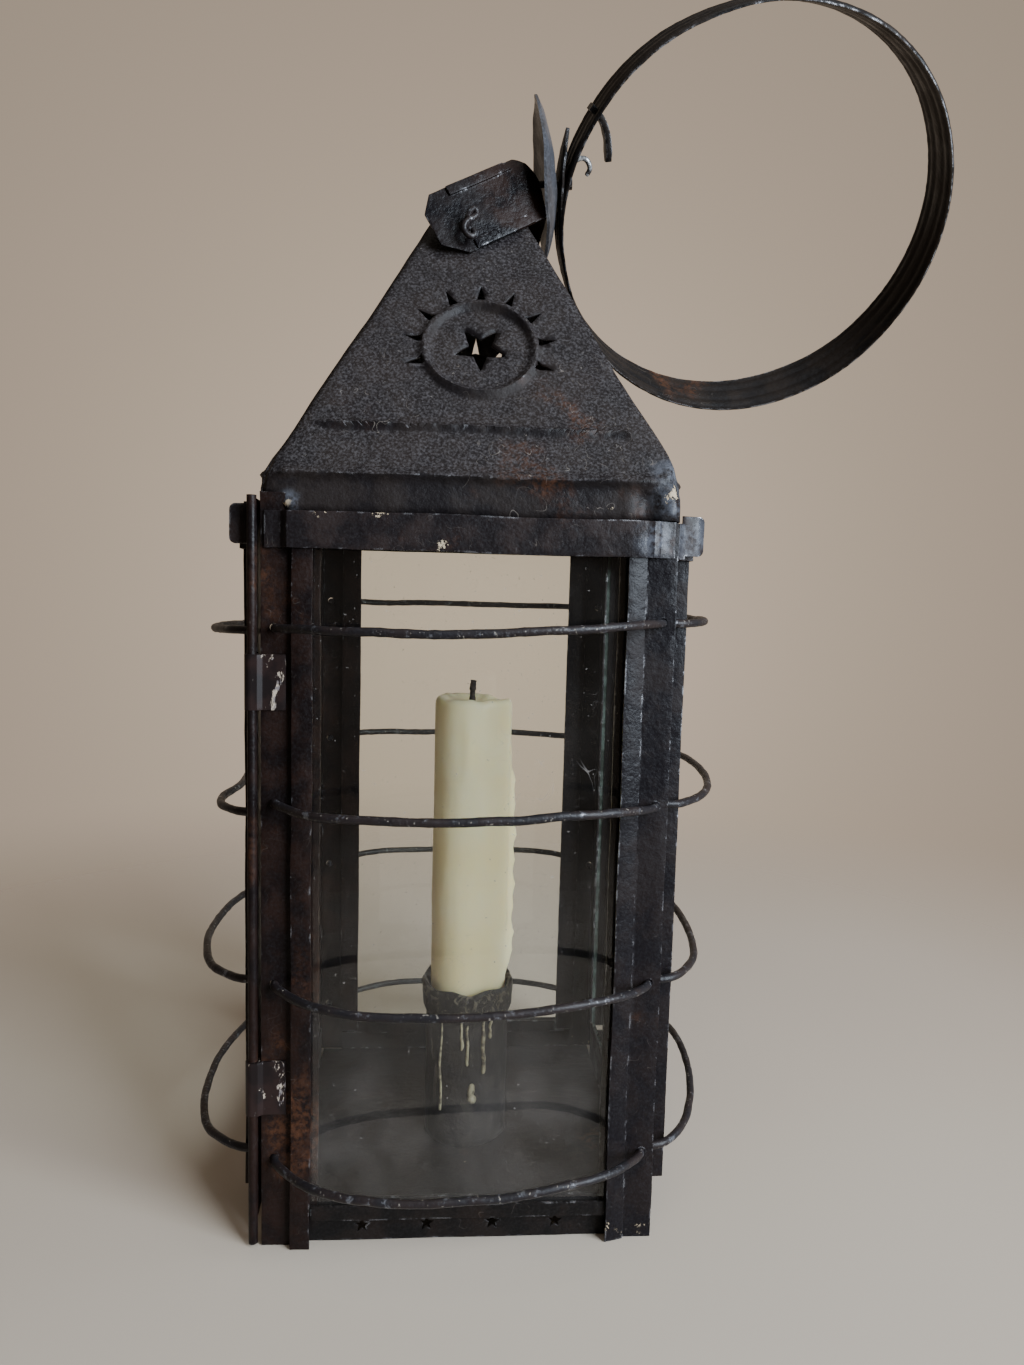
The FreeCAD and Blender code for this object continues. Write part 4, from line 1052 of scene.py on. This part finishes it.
def socket_warp(r, z, angle):
    """Tube with a lumpy flared collar, its rim in seven worn petals."""
    p = V(cos(angle), sin(angle), 0)
    flare = step_in(z, SOCKET_TOP - 10.5, SOCKET_TOP - 6)
    lump = uneven(p.x * 2.2, p.y * 2.2, z / 7)
    fine = uneven(p.x * 6, p.y * 6, z / 2.5)
    petal = 0.5 + 0.5 * cos(7 * angle + 1.2)
    r2 = r + lump * (0.15 + 0.5 * flare) + fine * 0.3 * flare
    z2 = z + step_in(z, SOCKET_TOP - 6.5, SOCKET_TOP - 1.5) * (1.1 * petal - 1.0 + 0.9 * lump)
    return max(r2, SOCKET_BORE if r > 11 and z > 3 else 0.2), min(z2, SOCKET_TOP)


profile = [(0.4, 1.8), (CANDLE_R - 0.8, 1.8), (CANDLE_R, 2.6)] + [(CANDLE_R, z) for z in range(6, 138, 2)]
profile += [(CANDLE_R - inset, CANDLE_TOP - drop) for inset, drop in CANDLE_RIM]
profile += [(r, CANDLE_TOP - drop) for r, drop in CANDLE_WELL]
lathe_piece("candle_melted", "candle", profile, 72, candle_warp, "candle", WAX)

path = [V(CANDLE_C.x + WICK_X + x, y, CANDLE_TOP + z) for x, y, z in WICK]
tube_piece("wick_burnt", resample(chaikin(path), 0.3), WICK_R, "candle", CHAR, ["wick"],
           sides=10, lumps=0.35, end=1.0)

profile = list(SOCKET_FOOT) + [(13.2, z) for z in range(3, round(SOCKET_TOP) - 12, 2)]
profile += [(r, SOCKET_TOP - drop) for r, drop in SOCKET_COLLAR] + list(SOCKET_INSIDE)
lathe_piece("candle_socket_waxy", "candle_socket", profile, 96, socket_warp, "lantern_body", WAXY)

for number, (at, high, low, size) in enumerate(DRIPS, 1):
    path = []
    for k in range(DRIP_POINTS):
        share = k / (DRIP_POINTS - 1)
        angle = radians(at + 3.5 * uneven(number, share * 3, 0))
        reach = DRIP_OUT + 0.1 * size
        path.append(V(CANDLE_C.x + reach * cos(angle), reach * sin(angle),
                            high + (low - high) * share))
    tube_piece("wax_drip_%d" % number, resample(path, 0.5), size * 0.7, "lantern_body", WAX_DRIP,
               sides=8, lumps=0.3, taper=1.9)


# ------------------------------------------------------------------ cap, disc and ring

PIN_FRAME = Matrix.Translation(PIN_AT) @ Matrix.Rotation(-atan2(PIN_N.z, PIN_N.x), 4, "Y")
RING_TURN = 33 + 90
RING_FRAME = PIN_FRAME @ Matrix.Rotation(radians(RING_TURN), 4, "X")

# pivot wire through the roof tip, its ends twisted into loops outside the cap: x, out, z from the pivot
PIVOT_SPAN, PIVOT_R, KNOT_OUT, REAR_KNOT = 21.8, 0.85, 0.9, 9
KNOT = ((0, 0, 0), (0.1, -0.6, 0.6), (0.4, -1.9, 2.6), (1.8, -2.2, 4.4), (3.0, -1.6, 3.6), (2.4, -1.2, 2.2),
        (0.6, -1.9, 1.4), (-0.9, -2.3, -0.6), (-0.2, -2.4, -2.6), (1.6, -2.0, -3.4), (2.7, -1.4, -2.2),
        (1.6, -1.0, -0.8))
front_end = [CAP_AT + V(x, -PIVOT_SPAN + y * KNOT_OUT, z) for x, y, z in KNOT]
rear_end = [CAP_AT + V(x, PIVOT_SPAN - y * KNOT_OUT, z) for x, y, z in KNOT[:REAR_KNOT]]
tube_piece("cap_pivot_wire_twisted", resample(chaikin(front_end[::-1] + rear_end), 0.5), PIVOT_R,
           "lantern_body", PIVOT, ["cap_pivot_wire"], sides=10, lumps=0.14)

# smoke disc; its lean is a slope
DISC_R, DISC_DOME, DISC_T, DISC_LEAN = 22.8, 4.2, 0.8, 0.05
DISC_SIDES = 96
DISC_RADII = [1.05, 2.5] + [2.5 + k * 1.15 for k in range(1, 18)] + [22.4, 22.8]


def disc_point(r, angle, side):
    """Point on one face of the dished disc, hammered, with a wavy rim."""
    c, s = cos(angle), sin(angle)
    edge = r / DISC_R
    hammer = 0.22 * noise.noise(V(r * c, r * s, 2) / 4.5)
    wave = 1.3 * edge ** 3 * uneven(c * 1.6, s * 1.6, 5)
    r2 = r + edge ** 4 * 0.35 * uneven(c * 6, s * 6, 9) - (0.3 if r > 22 else 0)
    depth = DISC_DOME * (1 - edge ** 2) + hammer + wave + DISC_LEAN * r2 * s + side * DISC_T / 2
    return PIN_FRAME @ V(depth, r2 * s, r2 * c)


bm = bmesh.new()
faces = [[[bm.verts.new(disc_point(r, angle, side)) for angle in turns(DISC_SIDES)] for r in DISC_RADII]
         for side in (-1, 1)]
for rings in faces:
    skin(bm, rings, ends=False)
for edge in (0, -1):
    skin(bm, [faces[0][edge], faces[1][edge]], ends=False)
bmesh.ops.recalc_face_normals(bm, faces=bm.faces)
finish_piece("smoke_disc_hammered", bm, "disc", [DISC_TIN], ["smoke_disc"], smooth=45)

# ring: an oval strap with rolled ridges, twisted towards the bottom; its tail and hook are laid on it
RING_C, RING_RX, RING_RZ, RING_T, RING_HALF = V(65.9, -13.3), 61.0, 56.2, 1.2, 8.0
RING_STEPS, SECTION_STEPS = 240, 22
RING_ROLL, ROLL_AT, ROLL_WIDTH = 17.0, 275, 0.95
RIDGES = ((6.6, 0.55), (2.6, 0.45))
# lapped tail, hook and tie wire as points in the plane of the ring
LAP = ((-60.4, 6.0), (-60.4, 10.0), (-59.9, 16.0), (-58.9, 22.0), (-57.7, 27.5))
HOOK = ((-51.3, 32.6), (-49.4, 31.0), (-47.4, 28.6), (-46.0, 24.6), (-45.6, 18.5))
TIE = ((-59.3, 15.2), (-55.9, 19.6), (-52.5, 20.0), (-50.9, 17.0), (-52.4, 15.2))
TIE_ACROSS, TIE_R = 1.5, 0.75
# half of a strap's section, from one edge to the other
STRAP_SECTION = ((-1, -0.3), (-0.93, -0.5), (-0.4, -0.56), (0.4, -0.56), (0.93, -0.5), (1, -0.3))


def ring_section():
    """Strap section as (across, outward) pairs, from the outer face round to the inner."""
    outer, inner = [], []
    for k in range(SECTION_STEPS + 1):
        w = -RING_HALF + 2 * RING_HALF * k / SECTION_STEPS
        ridge = sum(tall * bell(abs(w) - at, 0.9) for at, tall in RIDGES)
        edge = 0.35 * step_in(abs(w), 7.2, RING_HALF)
        outer.append((w, ridge - edge - 0.55))
        inner.append((w, ridge * 0.8 - RING_T * 0.75 + edge * 0.6 - 0.45))
    return outer + inner[::-1]


def ring_verts(bm, angle, section):
    """Vertices of the ring's section at an angle round it."""
    c, s = cos(angle), sin(angle)
    out = V(c / RING_RX, s / RING_RZ).normalized()
    centre = RING_C + V(RING_RX * c, RING_RZ * s)
    bend = min(0.5 * uneven(c * 2.1, s * 2.1, 1), 0.1)
    skew = 0.35 * uneven(c * 1.3, s * 1.3, 6)
    from_roll = (angle - radians(ROLL_AT) + pi) % (2 * pi) - pi
    roll = radians(RING_ROLL) * bell(from_roll, ROLL_WIDTH)
    verts = []
    for w0, d0 in section:
        w, d = w0 * cos(roll) - d0 * sin(roll), w0 * sin(roll) + d0 * cos(roll)
        flat = centre + out * (d + bend + 0.10 * uneven(angle * 40, w / 1.5, 0))
        ragged = 0.15 * uneven(angle * 25, w, 3) * (abs(w) > 7)
        verts.append(bm.verts.new(RING_FRAME @ V(flat.x, flat.y, w * 0.97 + skew + ragged)))
    return verts


def add_strap(bm, path, half, thick, seed, narrowing=0.35, reach=2.5):
    """Adds a flat strap along a path in the ring's plane, its far end narrowed over the reach."""
    path = resample(chaikin([V(p, q, 0) for p, q in path]), 0.8)
    section = STRAP_SECTION + tuple((w, -d) for w, d in STRAP_SECTION[::-1])
    rings = []
    last = len(path) - 1
    for i, p in enumerate(path):
        along = (path[min(i + 1, last)] - path[max(i - 1, 0)]).normalized()
        out = V(-along.y, along.x, 0)
        narrow = 1 - narrowing * max(0, 1 - (last - i) * 0.8 / reach) ** 1.5
        ring = []
        for w, d in section:
            rough = uneven(i / 3, w, seed) * 0.15
            q = RING_C.to_3d() + p + out * (d * thick + rough)
            ring.append(bm.verts.new(RING_FRAME @ V(q.x, q.y, w * half * narrow + rough)))
        rings.append(ring)
    skin(bm, rings)


bm = bmesh.new()
section = ring_section()
rings = [ring_verts(bm, angle, section) for angle in turns(RING_STEPS)]
skin(bm, rings + rings[:1], ends=False)
add_strap(bm, LAP, 7.0, 0.9, 3, 0.9, 15.0)
add_strap(bm, HOOK, 2.5, 1.7, 7)
bmesh.ops.recalc_face_normals(bm, faces=bm.faces)
finish_piece("ring_strap_rolled", bm, "ring", [RING_TIN], ["ring_strap"], smooth=50)

path = [RING_FRAME @ V(RING_C.x + p, RING_C.y + q, TIE_ACROSS) for p, q in TIE]
tube_piece("ring_tie_wire_bent", resample(chaikin(path), 0.5), TIE_R, "ring", BRIGHT,
           ["ring_tie_wire"], sides=10, lumps=0.06)

# pins and staple keep their CAD meshes
for node in ("swivel_pin", "hasp_pin", "hasp_staple"):
    materials = frame["nodes"][node].data.materials
    materials.clear()
    materials.append(GUARD)


# ------------------------------------------------------------------ stage

FLOOR_R, FLOOR_DROP = 6.0, 0.0002
# studio light as seen in a direction: even, rising towards the rear, with a glow behind the object
STUDIO_TINT, STUDIO_BACK = (0.95, 0.76, 0.585), (0.04, 0.999, 0.0)
FRONT_LIGHT, BACK_LIGHT, GLOW_LIGHT = 0.12, 0.53, 0.19
RISE_POWER, GLOW_POWER = 3.0, 16.0
# name, place, aim, size, watts, colour
LIGHTS = (("window", (0.85, -0.80, 0.52), (0, 0, 0.14), (0.7, 0.9), 49, (0.79, 0.89, 1.0)),
          ("ceiling", (0.1, -0.5, 1.6), (0, 0, 0.2), (1.2, 0.9), 5, (1.0, 0.96, 0.90)))


def area_light(name, at, aim, size, energy, colour):
    light = bpy.data.lights.new(name, "AREA")
    light.shape = "RECTANGLE"
    light.size, light.size_y = size
    light.energy = energy
    light.color = colour
    obj = bpy.data.objects.new(name, light)
    obj.location = at
    obj.rotation_euler = (Vector(aim) - Vector(at)).to_track_quat("-Z", "Y").to_euler()
    SCENE.collection.objects.link(obj)


def floor_disc():
    bm = bmesh.new()
    bmesh.ops.create_circle(bm, cap_ends=True, segments=96, radius=FLOOR_R)
    mesh = bpy.data.meshes.new("floor")
    bm.to_mesh(mesh)
    bm.free()
    mesh.materials.append(floor_material("floor_cloth"))
    floor = bpy.data.objects.new("floor", mesh)
    floor.location.z = -FLOOR_DROP
    SCENE.collection.objects.link(floor)


def studio():
    """Soft light from all round, worked out from the direction alone."""
    world = bpy.data.worlds.new("studio")
    world.use_nodes = True
    tree = world.node_tree

    def put(kind, operation, *values):
        node = tree.nodes.new("ShaderNode" + kind)
        node.operation = operation
        for place, value in enumerate(values):
            if isinstance(value, bpy.types.NodeSocket):
                tree.links.new(value, node.inputs[place])
            else:
                node.inputs[place].default_value = value
        return node.outputs["Value"]

    toward = tree.nodes.new("ShaderNodeTexCoord").outputs["Generated"]
    back = put("VectorMath", "DOT_PRODUCT", toward, STUDIO_BACK)
    rise = put("Math", "POWER", put("Math", "MULTIPLY_ADD", back, 0.5, 0.5), RISE_POWER)
    glow = put("Math", "POWER", put("Math", "MAXIMUM", back, 0.0), GLOW_POWER)
    level = put("Math", "MULTIPLY_ADD", rise, BACK_LIGHT - FRONT_LIGHT, FRONT_LIGHT)
    background = tree.nodes["Background"]
    background.inputs["Color"].default_value = (*STUDIO_TINT, 1)
    tree.links.new(put("Math", "MULTIPLY_ADD", glow, GLOW_LIGHT, level), background.inputs["Strength"])
    SCENE.world = world


def camera():
    data = bpy.data.cameras.new("camera")
    data.lens, data.sensor_width, data.clip_start = LENS, SENSOR, NEAR_CLIP
    obj = bpy.data.objects.new("camera", data)
    yaw, pitch, roll = (radians(a) for a in (CAMERA_YAW, CAMERA_PITCH, CAMERA_ROLL))
    ahead = V(sin(yaw) * cos(pitch), cos(yaw) * cos(pitch), sin(pitch))
    right = V(cos(yaw), -sin(yaw), 0)
    up = right.cross(ahead)
    across = right * cos(roll) + up * sin(roll)
    above = up * cos(roll) - right * sin(roll)
    turn = Matrix((across, above, -ahead)).transposed().to_4x4()
    obj.matrix_world = Matrix.Translation(CAMERA_AT) @ turn
    SCENE.collection.objects.link(obj)
    SCENE.camera = obj


floor_disc()
studio()
for light in LIGHTS:
    area_light(*light)
camera()
